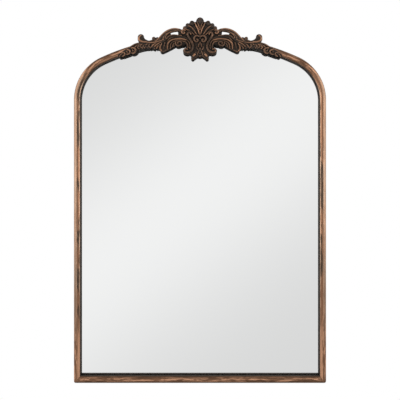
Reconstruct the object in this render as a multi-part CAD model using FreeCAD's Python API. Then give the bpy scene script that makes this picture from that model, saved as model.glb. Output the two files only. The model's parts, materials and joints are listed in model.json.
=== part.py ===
import FreeCAD, Part
import math
import os

# Arched wall mirror with a cast crest. Millimetres, +Z up, the front faces -Y.
# The origin is on the wall plane, midway between the two wall hooks that the rings hang on.

Vector = FreeCAD.Vector
X_AXIS = Vector(1, 0, 0)
Y_AXIS = Vector(0, 1, 0)
QUARTER_TURN = 90.0

# Frame moulding, outside sizes
FRAME_WIDTH = 610.0
CROWN_HEIGHT = 840.0        # underside of the bottom rail to the top of the crown
CROWN_RADIUS = 574.0
SHOULDER_RADIUS = 113.5
BAR_WIDTH = 15.0            # moulding as seen from the front
BAR_DEPTH = 26.0            # front line to back rim
BAR_WALL = 1.2
FRONT_RISE = 4.0            # rise of the rounded front above its two edges
RIM_WIDTH = 9.0             # rear leg of the moulding, beside the pane
LEDGE_DEPTH = 13.0          # front line to the ledge that the pane lies against

# Pane and backing, stacked behind the ledge
PANE_GAP = 1.0              # pane and board edges to the rear leg
TAPE_WIDTH = 4.0
TAPE_THICKNESS = 1.0
GLASS_THICKNESS = 4.0
FOAM_THICKNESS = 1.0
FOAM_WIDTH = 25.0
FOAM_MARGIN = 60.0          # foam strip ends to the foot of the board and to the shoulder line
FOAM_COUNT = 4
BOARD_THICKNESS = 5.0

# Corner keys and their screws
KEY_ARM = 45.0
KEY_DEPTH = 10.0
KEY_FIT = 0.2               # key to the walls of the hollow moulding
KEY_SCREW_SETBACK = 30.0    # outer corner of the frame to each key screw

# Retaining tabs
TAB_WIDTH = 22.0
TAB_REACH = 26.0
TAB_THICKNESS = 1.2
TAB_SCREW_SETBACK = 7.0     # inner end of the tab to its screw
UPRIGHT_TAB_SHARES = (0.22, 0.62)   # of the upright's height
RAIL_TAB_SHARE = 0.27               # of the frame's width, from the middle
CROWN_TAB_SHARE = 0.60              # of the crown's half angle

# Screws
SCREW_SHANK = 3.0
SCREW_HEAD = 6.0
SCREW_HEAD_HEIGHT = 1.6
SCREW_SLOT = 0.9            # width of the cross recess
SCREW_SLOT_LENGTH = 3.4
SCREW_SLOT_DEPTH = 0.8
SCREW_PLAY = 0.05           # shank to the wall of its hole
TAB_SCREW_BITE = 3.5        # depth of thread in the board
KEY_SCREW_BITE = 6.0
CREST_SCREW_BITE = 7.0

# Hangers: plate, folded strap and D-ring
HANG_HEIGHT = 600.0         # wall hooks above the underside of the bottom rail
HANGER_INSET = 24.0         # rear leg to the middle of the strap
HANGER_PLATE_REACH = 40.0
HANGER_PLATE_ABOVE = 7.0    # plate above and below the ring's bar
HANGER_PLATE_BELOW = 39.0
HANGER_PLATE_THICKNESS = 1.5
STRAP_WIDTH = 10.0
STRAP_THICKNESS = 0.8       # one layer, the strap is folded double
STRAP_LENGTH = 28.0         # ring's bar to the middle of the rounded end
RING_WIRE = 2.5
RING_OPENING = 16.0         # clear width between the arms
RING_ARM = 3.0              # straight part of each arm
RING_CORNER = 2.0           # bend between bar and arm, on the wire's centre line
RING_PLAY = 0.08            # wire to the fold of the strap
RING_REST_TILT = 6.0        # degrees off the plate, ring hanging down
RIVET_SHANK = 3.0
RIVET_HEAD = 5.4
RIVET_HEAD_HEIGHT = 0.9
RIVET_NEAR = 6.3            # ring's bar to the first and to the second rivet
RIVET_FAR = 23.0

# Wall bumpers
BUMPER_THICKNESS = 5.0
BUMPER_DIAMETER = 8.0
BUMPER_CHAMFER = 1.0
BUMPER_FOOT = 70.0          # lower pair above the underside of the bottom rail

# Crest castings and the plates that carry them
CREST_RELIEF = 13.0         # castings in front of the frame's front line, at most
CREST_BACK = 8.0            # flat back of the castings behind the front line
SADDLE_GAP = 0.3            # castings to the moulding that they straddle
SHELL_REACH = 49.0          # root of the flutes to the top of the middle flute
SHELL_ROOT_DROP = 4.0       # root of the flutes below the crown's outside
SPRAY_LENGTH = 205.0        # middle of the crown to the tip of a spray, along the crown
CASTING_GAP = 0.3           # between neighbouring castings
PLATE_THICKNESS = 2.0
PLATE_WIDTH_SHARE = 1.06    # of SHELL_REACH, as the plate's other shares
PLATE_HEIGHT_SHARE = 0.53
PLATE_SCREW_SPACING_SHARE = 0.65
PLATE_SCREW_HEIGHT_SHARE = 0.29
EAR_SHARE = 0.39            # of SPRAY_LENGTH, to the middle of an ear along the crown
EAR_WIDTH = 14.0
EAR_HEIGHT = 9.0
EAR_SCREW_HEIGHT = 4.5

# Cuts run past the faces that they open by this much
OVERRUN = 5.0

# Places worked out from the sizes above
SIDE_X = FRAME_WIDTH / 2
BASE_Z = -HANG_HEIGHT
CROWN_TOP_Z = BASE_Z + CROWN_HEIGHT
CROWN_CENTRE_Z = CROWN_TOP_Z - CROWN_RADIUS
SHOULDER_X = SIDE_X - SHOULDER_RADIUS
ARC_SPACING = CROWN_RADIUS - SHOULDER_RADIUS
CROWN_HALF_ANGLE = math.asin(SHOULDER_X / ARC_SPACING)
SHOULDER_Z = CROWN_CENTRE_Z + ARC_SPACING * math.cos(CROWN_HALF_ANGLE)
FRONT_Y = -(BUMPER_THICKNESS + BAR_DEPTH)
FRONT_RADIUS = (FRONT_RISE ** 2 + (BAR_WIDTH / 2) ** 2) / (2 * FRONT_RISE)
PANE_INSET = RIM_WIDTH + PANE_GAP
GLASS_DEPTH = LEDGE_DEPTH + TAPE_THICKNESS
FOAM_DEPTH = GLASS_DEPTH + GLASS_THICKNESS
BOARD_DEPTH = FOAM_DEPTH + FOAM_THICKNESS
BOARD_BACK = BOARD_DEPTH + BOARD_THICKNESS
RING_RADIUS = (RING_OPENING + RING_WIRE) / 2
BAR_Z = -(RING_ARM + RING_OPENING / 2)
HANGER_X = SIDE_X - RIM_WIDTH - HANGER_INSET
FOLD_RADIUS = RING_WIRE / 2 + RING_PLAY + STRAP_THICKNESS
HANGER_PLATE_BACK = BOARD_BACK + HANGER_PLATE_THICKNESS
RING_BAR_DEPTH = HANGER_PLATE_BACK + FOLD_RADIUS
STRAP_BACK = HANGER_PLATE_BACK + 2 * STRAP_THICKNESS
SCREW_HOLE = SCREW_SHANK / 2 + SCREW_PLAY
PLATE_WIDTH = PLATE_WIDTH_SHARE * SHELL_REACH
PLATE_HEIGHT = PLATE_HEIGHT_SHARE * SHELL_REACH
EAR_ANGLE = EAR_SHARE * SPRAY_LENGTH / CROWN_RADIUS

# The outlines below are shares of SHELL_REACH, measured from the root of the flutes, for the shell,
# and of SPRAY_LENGTH for a spray: along the crown's outside and out from it. A band has a path, its
# widths along that path as shares of the same length, its relief as a share of CREST_RELIEF, and the
# width of its top as a share of the width at its back. A disc has a place, a radius and a relief.
LOBE_ANGLES = (0.0, 25.5, 41.0, 56.0)
LOBE_REACH_SHARES = (1.0, 0.93, 0.94, 0.93)
LOBE_RADIUS_SHARES = (0.19, 0.14, 0.13, 0.12)
LOBE_RELIEF_SHARES = (0.80, 0.68, 0.58, 0.48)
LOBE_ROOT_SHARE = 0.06
LOBE_WAIST_SHARE = 0.65     # width half way along a flute, of its width at the lobe
LOBE_TOP_SHARE = 0.55
FAN_REACH_SHARE = 0.84
FAN_HALF_ANGLE = 66.0
FAN_RELIEF_SHARE = 0.38
CARTOUCHE_SHARES = (
    (0.00, 0.36), (0.64, 0.26), (0.63, 0.10), (0.55, -0.06), (0.42, -0.21), (0.38, -0.38), (0.42, -0.58),
    (0.60, -0.74), (0.50, -0.94), (0.43, -1.02), (0.41, -1.17), (0.33, -1.19), (0.00, -1.04),
)
CARTOUCHE_RELIEF_SHARE = 0.32
SCROLL_SHARES = (
    ((0.53, 0.17), (0.62, 0.13), (0.57, -0.04), (0.44, -0.20), (0.395, -0.38), (0.41, -0.575),
     (0.525, -0.775), (0.70, -0.81), (0.79, -0.68), (0.72, -0.61)),
    (0.10, 0.13, 0.14, 0.14, 0.14, 0.15, 0.15, 0.15, 0.13, 0.10), 0.72, 0.50)
TAIL_SHARES = (((0.10, -0.55), (0.26, -0.86), (0.36, -1.13)), (0.16, 0.22, 0.12), 0.50, 0.60)
CROSSED_RIB_SHARES = (
    ((0.07, -0.50), (-0.01, -0.64), (-0.15, -0.81), (-0.02, -0.97)), (0.06, 0.08, 0.08, 0.06), 0.62, 0.50)
LANCE_SHARES = (((0.0, -0.30), (0.0, -0.40), (0.0, -0.49)), (0.07, 0.14, 0.05), 0.66, 0.50)
SIDE_VOLUTE_SHARES = (0.67, -0.745, 0.195, 0.52)
CURL_SHARES = (0.175, -0.115, 0.155, 0.80)
CURL_BOSS_SHARES = (0.155, -0.145, 0.060, 1.0)
SPRAY_BAND_SHARES = (
    # loop, sweeping from the shell over the eyelet and down into the stem
    (((0.190, 0.050), (0.212, 0.074), (0.282, 0.090), (0.344, 0.085), (0.400, 0.058), (0.441, 0.017),
      (0.490, -0.024), (0.540, -0.060), (0.620, -0.068)),
     (0.030, 0.038, 0.040, 0.042, 0.046, 0.048, 0.050, 0.048, 0.040), 0.58, 0.52),
    # leaf under the eyelet
    (((0.110, -0.070), (0.158, -0.042), (0.250, -0.003), (0.325, 0.006), (0.384, -0.010), (0.448, -0.050),
      (0.514, -0.085)),
     (0.044, 0.052, 0.050, 0.050, 0.056, 0.058, 0.040), 0.46, 0.60),
    # web between loop and leaf
    (((0.368, 0.040), (0.410, 0.016), (0.468, -0.036)), (0.056, 0.070, 0.060), 0.34, 0.80),
    # ground between the shell and the hanging lobe
    (((0.130, -0.070), (0.240, -0.068), (0.340, -0.072), (0.430, -0.092)), (0.110, 0.116, 0.120, 0.110),
     0.30, 0.84),
    # rib over the hanging lobe
    (((0.125, -0.105), (0.205, -0.050), (0.272, -0.038), (0.343, -0.055), (0.389, -0.103), (0.410, -0.148)),
     (0.026, 0.030, 0.032, 0.032, 0.030, 0.022), 0.66, 0.50),
    # hanging lobe
    (((0.290, -0.082), (0.360, -0.110), (0.412, -0.148), (0.440, -0.168)), (0.080, 0.100, 0.086, 0.046),
     0.42, 0.70),
    # stem along the moulding
    (((0.440, -0.064), (0.530, -0.066), (0.620, -0.058), (0.700, -0.055), (0.780, -0.054), (0.860, -0.052)),
     (0.110, 0.116, 0.104, 0.100, 0.096, 0.070), 0.36, 0.82),
    # upturned hook
    (((0.590, -0.040), (0.640, -0.016), (0.676, 0.008), (0.690, 0.040), (0.682, 0.074)),
     (0.050, 0.060, 0.066, 0.072, 0.064), 0.54, 0.56),
    # small leaf bump
    (((0.500, -0.030), (0.524, 0.000), (0.536, 0.018)), (0.070, 0.050, 0.028), 0.44, 0.60),
    # two leaves at the tip
    (((0.765, -0.062), (0.798, -0.086), (0.822, -0.102)), (0.070, 0.066, 0.046), 0.44, 0.64),
    (((0.840, -0.060), (0.905, -0.082), (0.985, -0.084)), (0.070, 0.056, 0.026), 0.40, 0.64),
)
SPRAY_DISC_SHARES = (
    # curl beside the shell, small volute of the lobe
    (0.190, 0.044, 0.026, 0.56),
    (0.279, -0.100, 0.025, 0.62),
)
BAND_STATIONS = 14
DISC_TOP_SHARE = 0.70       # radius of a disc's top, of its radius at the back


def at(x, depth, z):
    """Point at a depth behind the frame's front line."""
    return Vector(x, FRONT_Y + depth, z)


def prism(points, front, back):
    """Solid between two depths, over a closed run of (x, z) points."""
    wire = Part.makePolygon([at(x, front, z) for x, z in points + points[:1]])
    return Part.Face(wire).extrude(Vector(0, back - front, 0))


def rod(x, z, radius, front, back):
    """Round solid that runs from front to back."""
    return Part.makeCylinder(radius, back - front, at(x, front, z), Y_AXIS)


def mirrored(shape):
    return shape.mirror(Vector(0, 0, 0), X_AXIS)


def both_sides(shape):
    return [shape, mirrored(shape)]


# Frame

def moulding_face(place, wall):
    """Section of the moulding, its outline moved in by wall, drawn by place(inset, depth)."""
    edge = FRONT_RADIUS - math.sqrt((FRONT_RADIUS - wall) ** 2 - (BAR_WIDTH / 2 - wall) ** 2)
    outer = place(wall, edge)
    inner = place(BAR_WIDTH - wall, edge)
    corners = [
        inner,
        place(BAR_WIDTH - wall, LEDGE_DEPTH - wall),
        place(RIM_WIDTH - wall, LEDGE_DEPTH - wall),
        place(RIM_WIDTH - wall, BAR_DEPTH - wall),
        place(wall, BAR_DEPTH - wall),
        outer,
    ]
    edges = [Part.Arc(outer, place(BAR_WIDTH / 2, wall), inner).toShape()]
    edges += [Part.LineSegment(p, q).toShape() for p, q in zip(corners, corners[1:])]
    return Part.Face(Part.Wire(edges))


def arch_bar(wall):
    """Uprights, shoulders and crown as one solid bar, its section moved in by wall."""
    foot = moulding_face(lambda inset, depth: at(SIDE_X - inset, depth, BASE_Z), wall)
    upright = foot.extrude(Vector(0, 0, SHOULDER_Z - BASE_Z))
    upright_top = moulding_face(lambda inset, depth: at(SIDE_X - inset, depth, SHOULDER_Z), wall)
    crown_angle = math.degrees(CROWN_HALF_ANGLE)
    shoulder_centre = Vector(SHOULDER_X, 0, SHOULDER_Z)
    shoulder = upright_top.revolve(shoulder_centre, Y_AXIS, crown_angle - QUARTER_TURN)
    crown_top = moulding_face(lambda inset, depth: at(0, depth, CROWN_TOP_Z - inset), wall)
    crown = crown_top.revolve(Vector(0, 0, CROWN_CENTRE_Z), Y_AXIS, crown_angle)
    half = upright.fuse([shoulder, crown])
    return half.fuse(mirrored(half)).removeSplitter()


def rail_bar(wall):
    """Bottom rail before its mitres are cut."""
    end = moulding_face(lambda inset, depth: at(-SIDE_X, depth, BASE_Z + inset), wall)
    return end.extrude(Vector(FRAME_WIDTH, 0, 0))


def mitre_waste(above):
    """Triangular block above or below the mitre of the right lower corner."""
    reach = BAR_WIDTH + OVERRUN
    outside = (SIDE_X + OVERRUN, BASE_Z - OVERRUN)
    inside = (SIDE_X - reach, BASE_Z + reach)
    corner = (outside[0], inside[1]) if above else (inside[0], outside[1])
    return prism([outside, inside, corner], -OVERRUN, BAR_DEPTH + OVERRUN)


def key_screw_places():
    """Key screws of the right lower corner: one in the upright, one in the rail."""
    middle = RIM_WIDTH / 2
    return [
        (SIDE_X - middle, BASE_Z + KEY_SCREW_SETBACK),
        (SIDE_X - KEY_SCREW_SETBACK, BASE_Z + middle),
    ]


def key_screw_holes():
    front = BAR_DEPTH - BAR_WALL - KEY_FIT - KEY_SCREW_BITE
    holes = [rod(x, z, SCREW_HOLE, front, BAR_DEPTH + OVERRUN) for x, z in key_screw_places()]
    return holes + [mirrored(hole) for hole in holes]


def frame_arch():
    hollow = arch_bar(0).cut(arch_bar(BAR_WALL))
    return hollow.cut(both_sides(mitre_waste(above=False)) + key_screw_holes())


def bottom_rail():
    hollow = rail_bar(0).cut(rail_bar(BAR_WALL))
    return hollow.cut(both_sides(mitre_waste(above=True)) + key_screw_holes())


def corner_key():
    """Right corner key: an L in the rear leg of both mouldings."""
    outside = BAR_WALL + KEY_FIT
    inside = RIM_WIDTH - BAR_WALL - KEY_FIT
    end = outside + KEY_ARM
    rail_arm = [(outside, outside), (end, outside), (end, inside), (inside, inside)]
    steps = rail_arm + [(inside, end), (outside, end)]
    back = BAR_DEPTH - BAR_WALL - KEY_FIT
    key = prism([(SIDE_X - across, BASE_Z + up) for across, up in steps], back - KEY_DEPTH, back)
    return key.cut(key_screw_holes())


# Pane and backing

def arch_plate(inset, front, thickness):
    """Flat arched sheet whose edge runs inset inside the frame's outside."""
    side = SIDE_X - inset
    foot = BASE_Z + inset
    radius = SHOULDER_RADIUS - inset
    bend = (math.pi / 2 + CROWN_HALF_ANGLE) / 2

    def shoulder_point(sign, angle):
        across = SHOULDER_X + radius * math.sin(angle)
        return at(sign * across, front, SHOULDER_Z + radius * math.cos(angle))

    right = [shoulder_point(1, angle) for angle in (math.pi / 2, bend, CROWN_HALF_ANGLE)]
    left = [shoulder_point(-1, angle) for angle in (CROWN_HALF_ANGLE, bend, math.pi / 2)]
    edges = [
        Part.LineSegment(at(-side, front, foot), at(side, front, foot)).toShape(),
        Part.LineSegment(at(side, front, foot), right[0]).toShape(),
        Part.Arc(*right).toShape(),
        Part.Arc(right[2], at(0, front, CROWN_TOP_Z - inset), left[0]).toShape(),
        Part.Arc(*left).toShape(),
        Part.LineSegment(left[2], at(-side, front, foot)).toShape(),
    ]
    return Part.Face(Part.Wire(edges)).extrude(Vector(0, thickness, 0))


def glass_tape():
    outer = arch_plate(PANE_INSET, LEDGE_DEPTH, TAPE_THICKNESS)
    return outer.cut(arch_plate(PANE_INSET + TAPE_WIDTH, LEDGE_DEPTH, TAPE_THICKNESS))


def foam_strips():
    pitch = 2 * (SIDE_X - PANE_INSET) / (FOAM_COUNT + 1)
    foot = BASE_Z + PANE_INSET + FOAM_MARGIN
    length = SHOULDER_Z - FOAM_MARGIN - foot
    strips = []
    for index in range(FOAM_COUNT):
        x = (index - (FOAM_COUNT - 1) / 2) * pitch - FOAM_WIDTH / 2
        strips.append(Part.makeBox(FOAM_WIDTH, FOAM_THICKNESS, length, at(x, FOAM_DEPTH, foot)))
    return Part.makeCompound(strips)


def backing_board():
    board = arch_plate(PANE_INSET, BOARD_DEPTH, BOARD_THICKNESS)
    holes = []
    for seat in tab_seats():
        x, z = tab_screw_place(seat)
        holes.append(rod(x, z, SCREW_HOLE, BOARD_BACK - TAB_SCREW_BITE, BOARD_BACK + OVERRUN))
    return board.cut(holes)


# Retaining tabs

def tab_seats():
    """Each tab's middle on the rear leg, with the turn about Y that points it at the pane."""
    seats = []
    wall_x = SIDE_X - RIM_WIDTH
    for share in UPRIGHT_TAB_SHARES:
        z = BASE_Z + share * (SHOULDER_Z - BASE_Z)
        seats += [(-wall_x, z, 0), (wall_x, z, 2 * QUARTER_TURN)]
    for sign in (-1, 1):
        seats.append((sign * RAIL_TAB_SHARE * FRAME_WIDTH, BASE_Z + RIM_WIDTH, -QUARTER_TURN))
        angle = sign * CROWN_TAB_SHARE * CROWN_HALF_ANGLE
        radius = CROWN_RADIUS - RIM_WIDTH
        x = radius * math.sin(angle)
        z = CROWN_CENTRE_Z + radius * math.cos(angle)
        seats.append((x, z, QUARTER_TURN + math.degrees(angle)))
    return seats


def tab_screw_place(seat):
    x, z, turn = seat
    reach = TAB_REACH - TAB_SCREW_SETBACK
    angle = math.radians(turn)
    return x + reach * math.cos(angle), z - reach * math.sin(angle)


def retaining_tab(seat, frame_bar):
    """Flat tab on the back of the board, welded by its end to the rear leg."""
    x, z, turn = seat
    corner = Vector(-RIM_WIDTH / 2, 0, -TAB_WIDTH / 2)
    tab = Part.makeBox(TAB_REACH - corner.x, TAB_THICKNESS, TAB_WIDTH, corner)
    tab.Placement = FreeCAD.Placement(at(x, BOARD_BACK, z), FreeCAD.Rotation(Y_AXIS, turn))
    hole_x, hole_z = tab_screw_place(seat)
    hole = rod(hole_x, hole_z, SCREW_HOLE, BOARD_BACK - OVERRUN, BOARD_BACK + OVERRUN)
    return tab.cut([frame_bar, hole])


# Screws

def pan_screw(x, z, under_head, length):
    """Cross-recessed screw put in from the back, its head bearing at under_head."""
    top = under_head + SCREW_HEAD_HEIGHT
    screw = rod(x, z, SCREW_HEAD / 2, under_head, top)
    screw = screw.fuse(rod(x, z, SCREW_SHANK / 2, under_head - length, under_head)).removeSplitter()
    long_side, short_side = SCREW_SLOT_LENGTH, SCREW_SLOT
    slots = []
    for wide, high in ((long_side, short_side), (short_side, long_side)):
        corner = at(x - wide / 2, top - SCREW_SLOT_DEPTH, z - high / 2)
        slots.append(Part.makeBox(wide, SCREW_SLOT_DEPTH + OVERRUN, high, corner))
    return screw.cut(slots)


def tab_screws():
    head = BOARD_BACK + TAB_THICKNESS
    length = TAB_THICKNESS + TAB_SCREW_BITE
    return Part.makeCompound([pan_screw(*tab_screw_place(seat), head, length) for seat in tab_seats()])


def corner_screws():
    length = BAR_WALL + KEY_FIT + KEY_SCREW_BITE
    screws = [pan_screw(x, z, BAR_DEPTH, length) for x, z in key_screw_places()]
    return Part.makeCompound(screws + [mirrored(screw) for screw in screws])


# Hangers, made for the right side

def rivet_places():
    return [(HANGER_X, BAR_Z - RIVET_NEAR), (HANGER_X, BAR_Z - RIVET_FAR)]


def rivet_holes():
    front = BOARD_BACK - OVERRUN
    back = STRAP_BACK + OVERRUN
    return [rod(x, z, RIVET_SHANK / 2, front, back) for x, z in rivet_places()]


def hanger_bracket():
    """Plate on the back of the board, welded by its edge to the rear leg."""
    height = HANGER_PLATE_ABOVE + HANGER_PLATE_BELOW
    corner = at(SIDE_X - RIM_WIDTH - HANGER_PLATE_REACH, BOARD_BACK, BAR_Z - HANGER_PLATE_BELOW)
    return Part.makeBox(HANGER_PLATE_REACH, HANGER_PLATE_THICKNESS, height, corner).cut(rivet_holes())


def hanger_strap():
    """Strip folded round the ring's bar, its two layers riveted to the bracket."""
    left = HANGER_X - STRAP_WIDTH / 2
    leaf_corner = at(left, HANGER_PLATE_BACK, BAR_Z - STRAP_LENGTH)
    leaf = Part.makeBox(STRAP_WIDTH, 2 * STRAP_THICKNESS, STRAP_LENGTH, leaf_corner)
    end = rod(HANGER_X, BAR_Z - STRAP_LENGTH, STRAP_WIDTH / 2, HANGER_PLATE_BACK, STRAP_BACK)
    fold = Part.makeCylinder(FOLD_RADIUS, STRAP_WIDTH, at(left, RING_BAR_DEPTH, BAR_Z), X_AXIS)
    bore_start = at(left - OVERRUN, RING_BAR_DEPTH, BAR_Z)
    bore = Part.makeCylinder(RING_WIRE / 2 + RING_PLAY, STRAP_WIDTH + 2 * OVERRUN, bore_start, X_AXIS)
    return leaf.fuse([end, fold]).cut([bore] + rivet_holes()).removeSplitter()


def hanger_rivets():
    rivets = []
    for x, z in rivet_places():
        head = rod(x, z, RIVET_HEAD / 2, STRAP_BACK, STRAP_BACK + RIVET_HEAD_HEIGHT)
        edges = [edge for edge in head.Edges if edge.BoundBox.YMin > head.BoundBox.YMin]
        head = head.makeFillet(RIVET_HEAD_HEIGHT / 2, edges)
        rivets.append(head.fuse(rod(x, z, RIVET_SHANK / 2, BOARD_BACK, STRAP_BACK)))
    return Part.makeCompound(rivets + [mirrored(rivet) for rivet in rivets])


def d_ring():
    """D-shaped wire ring, hanging down from its bar at its rest tilt."""
    wire = RING_WIRE / 2
    bar_half = RING_RADIUS - RING_CORNER
    arm_top = -RING_CORNER
    arm_foot = -RING_ARM
    pieces = [Part.makeCylinder(wire, 2 * bar_half, Vector(-bar_half, 0, 0), X_AXIS)]
    for sign in (-1, 1):
        section = Part.Face(Part.Wire(Part.makeCircle(wire, Vector(sign * bar_half, 0, 0), X_AXIS)))
        bend = section.revolve(Vector(sign * bar_half, 0, arm_top), Y_AXIS, sign * QUARTER_TURN)
        arm = Part.makeCylinder(wire, arm_top - arm_foot, Vector(sign * RING_RADIUS, 0, arm_foot))
        pieces += [bend, arm]
    section = Part.Face(Part.Wire(Part.makeCircle(wire, Vector(RING_RADIUS, 0, arm_foot))))
    pieces.append(section.revolve(Vector(0, 0, arm_foot), Y_AXIS, 2 * QUARTER_TURN))
    ring = pieces[0].fuse(pieces[1:]).removeSplitter()
    ring.Placement = FreeCAD.Placement(
        at(HANGER_X, RING_BAR_DEPTH, BAR_Z), FreeCAD.Rotation(X_AXIS, RING_REST_TILT))
    return ring


def wall_bumpers():
    """Two rubber pads on each upright, their flat tips on the wall plane."""
    radius = BUMPER_DIAMETER / 2
    x = SIDE_X - RIM_WIDTH / 2
    shoulder = BAR_DEPTH + BUMPER_THICKNESS - BUMPER_CHAMFER
    bumpers = []
    for z in (BASE_Z + BUMPER_FOOT, SHOULDER_Z):
        tip = Part.makeCone(radius, radius - BUMPER_CHAMFER, BUMPER_CHAMFER, at(x, shoulder, z), Y_AXIS)
        bumpers.append(rod(x, z, radius, BAR_DEPTH, shoulder).fuse(tip))
    return Part.makeCompound(bumpers + [mirrored(bumper) for bumper in bumpers])


# Crest

def shell_point(share_x, share_z):
    """Point of the shell's plan, from the root of the flutes."""
    return share_x * SHELL_REACH, CROWN_TOP_Z - SHELL_ROOT_DROP + share_z * SHELL_REACH


def spray_point(share_along, share_out):
    """Point of a spray's plan, along the crown's outside and out from it."""
    angle = share_along * SPRAY_LENGTH / CROWN_RADIUS
    radius = CROWN_RADIUS + share_out * SPRAY_LENGTH
    return radius * math.sin(angle), CROWN_CENTRE_Z + radius * math.cos(angle)


def spread(values, share):
    """Value at a share of the way along a short list."""
    place = share * (len(values) - 1)
    index = min(int(place), len(values) - 2)
    rest = place - index
    return values[index] * (1 - rest) + values[index + 1] * rest


def band_wire(line, widths, depth):
    """Closed outline of a band: two smooth sides and two round ends."""
    left = []
    right = []
    first, last = line.FirstParameter, line.LastParameter
    for station in range(BAND_STATIONS + 1):
        share = station / BAND_STATIONS
        place = first + (last - first) * share
        middle = line.value(place)
        along = line.tangent(place)[0]
        across = Vector(-along.y, along.x, 0) * (spread(widths, share) / 2)
        left.append(middle + across)
        right.append(middle - across)
    start_tip = line.value(first) - line.tangent(first)[0] * (widths[0] / 2)
    end_tip = line.value(last) + line.tangent(last)[0] * (widths[-1] / 2)

    def flat(point):
        return at(point.x, depth, point.y)

    def side(points):
        curve = Part.BSplineCurve()
        curve.interpolate([flat(point) for point in points])
        return curve.toShape()

    edges = [
        side(left),
        Part.Arc(flat(left[-1]), flat(end_tip), flat(right[-1])).toShape(),
        side(right[::-1]),
        Part.Arc(flat(right[0]), flat(start_tip), flat(left[0])).toShape(),
    ]
    return Part.Wire(edges)


def band_line(row, plan_point, size):
    """Middle line of a band and its widths."""
    path, width_shares = row[:2]
    line = Part.BSplineCurve()
    line.interpolate([Vector(*plan_point(*shares), 0) for shares in path])
    return line, [share * size for share in width_shares]


def band(row, plan_point, size):
    """Carved band with sloping sides, from the castings' back to its own relief."""
    relief_share, top_share = row[2:]
    line, widths = band_line(row, plan_point, size)
    foot = band_wire(line, widths, CREST_BACK)
    top = band_wire(line, [width * top_share for width in widths], -relief_share * CREST_RELIEF)
    return Part.makeLoft([foot, top], True, True)


def disc(row, plan_point, size):
    """Round boss with a sloping side, from the castings' back to its own relief."""
    share_x, share_z, radius_share, relief_share = row
    x, z = plan_point(share_x, share_z)
    radius = radius_share * size
    height = CREST_BACK + relief_share * CREST_RELIEF
    return Part.makeCone(radius, radius * DISC_TOP_SHARE, height, at(x, CREST_BACK, z), -Y_AXIS)


def shell_fan(front, back):
    """Flat fan behind the flutes, between two depths."""
    angle = math.radians(FAN_HALF_ANGLE)

    def rim(turn):
        x, z = shell_point(FAN_REACH_SHARE * math.sin(turn), FAN_REACH_SHARE * math.cos(turn))
        return at(x, front, z)

    root_x, root_z = shell_point(0, 0)
    root = at(root_x, front, root_z)
    edges = [
        Part.LineSegment(root, rim(angle)).toShape(),
        Part.Arc(rim(angle), rim(0), rim(-angle)).toShape(),
        Part.LineSegment(rim(-angle), root).toShape(),
    ]
    return Part.Face(Part.Wire(edges)).extrude(Vector(0, back - front, 0))


def shell_cartouche(front, back):
    """Flat ground between the two side scrolls, between two depths."""
    half = list(CARTOUCHE_SHARES)
    outline = half + [(-x, z) for x, z in half[-2:0:-1]]
    return prism([shell_point(*shares) for shares in outline], front, back)


def flute_rows():
    """Flutes from the middle one to the right, each a band that ends in a round lobe."""
    rows = []
    lobes = zip(LOBE_ANGLES, LOBE_REACH_SHARES, LOBE_RADIUS_SHARES, LOBE_RELIEF_SHARES)
    for angle, reach, radius, relief in lobes:
        steps = (LOBE_ROOT_SHARE, (LOBE_ROOT_SHARE + reach - radius) / 2, reach - radius)
        widths = (LOBE_ROOT_SHARE, 2 * radius * LOBE_WAIST_SHARE, 2 * radius)
        turn = math.radians(angle)
        path = [(step * math.sin(turn), step * math.cos(turn)) for step in steps]
        rows.append((path, widths, relief, LOBE_TOP_SHARE))
    return rows


def crest_shell(saddle):
    """Middle casting: fluted shell over a cartouche with scrolled sides."""
    ground = shell_cartouche(-CARTOUCHE_RELIEF_SHARE * CREST_RELIEF, CREST_BACK)
    middle_flute, *side_flutes = flute_rows()
    pieces = [shell_fan(-FAN_RELIEF_SHARE * CREST_RELIEF, CREST_BACK)]
    pieces += [band(row, shell_point, SHELL_REACH) for row in (middle_flute, LANCE_SHARES)]
    for row in side_flutes + [SCROLL_SHARES, TAIL_SHARES, CROSSED_RIB_SHARES]:
        pieces += both_sides(band(row, shell_point, SHELL_REACH))
    for row in (SIDE_VOLUTE_SHARES, CURL_SHARES, CURL_BOSS_SHARES):
        pieces += both_sides(disc(row, shell_point, SHELL_REACH))
    return ground.fuse(pieces).cut([saddle] + crest_screw_holes())


def shell_room():
    """Straight-walled room round the shell's right side, which the spray stays clear of."""
    front = -CREST_RELIEF - OVERRUN
    back = CREST_BACK + OVERRUN
    room = [shell_cartouche(front, back)]
    for row in flute_rows() + [SCROLL_SHARES]:
        line, widths = band_line(row, shell_point, SHELL_REACH)
        wire = band_wire(line, [width + 2 * CASTING_GAP for width in widths], front)
        room.append(Part.Face(wire).extrude(Vector(0, back - front, 0)))
    x, z = shell_point(*SIDE_VOLUTE_SHARES[:2])
    room.append(rod(x, z, SIDE_VOLUTE_SHARES[2] * SHELL_REACH + CASTING_GAP, front, back))
    return shell_fan(front, back).fuse(room)


def crest_spray(saddle):
    """Right acanthus spray, its inner end beside the shell."""
    pieces = [band(row, spray_point, SPRAY_LENGTH) for row in SPRAY_BAND_SHARES]
    pieces += [disc(row, spray_point, SPRAY_LENGTH) for row in SPRAY_DISC_SHARES]
    casting = pieces[0].fuse(pieces[1:])
    return casting.cut(shell_room()).cut([saddle] + crest_screw_holes())


def ear_point(height):
    radius = CROWN_RADIUS + height
    return radius * math.sin(EAR_ANGLE), CROWN_CENTRE_Z + radius * math.cos(EAR_ANGLE)


def crest_screw_places():
    shell_z = CROWN_TOP_Z + PLATE_SCREW_HEIGHT_SHARE * SHELL_REACH
    ear_x, ear_z = ear_point(EAR_SCREW_HEIGHT)
    shell_x = PLATE_SCREW_SPACING_SHARE * SHELL_REACH / 2
    return [(shell_x, shell_z), (-shell_x, shell_z), (ear_x, ear_z), (-ear_x, ear_z)]


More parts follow.
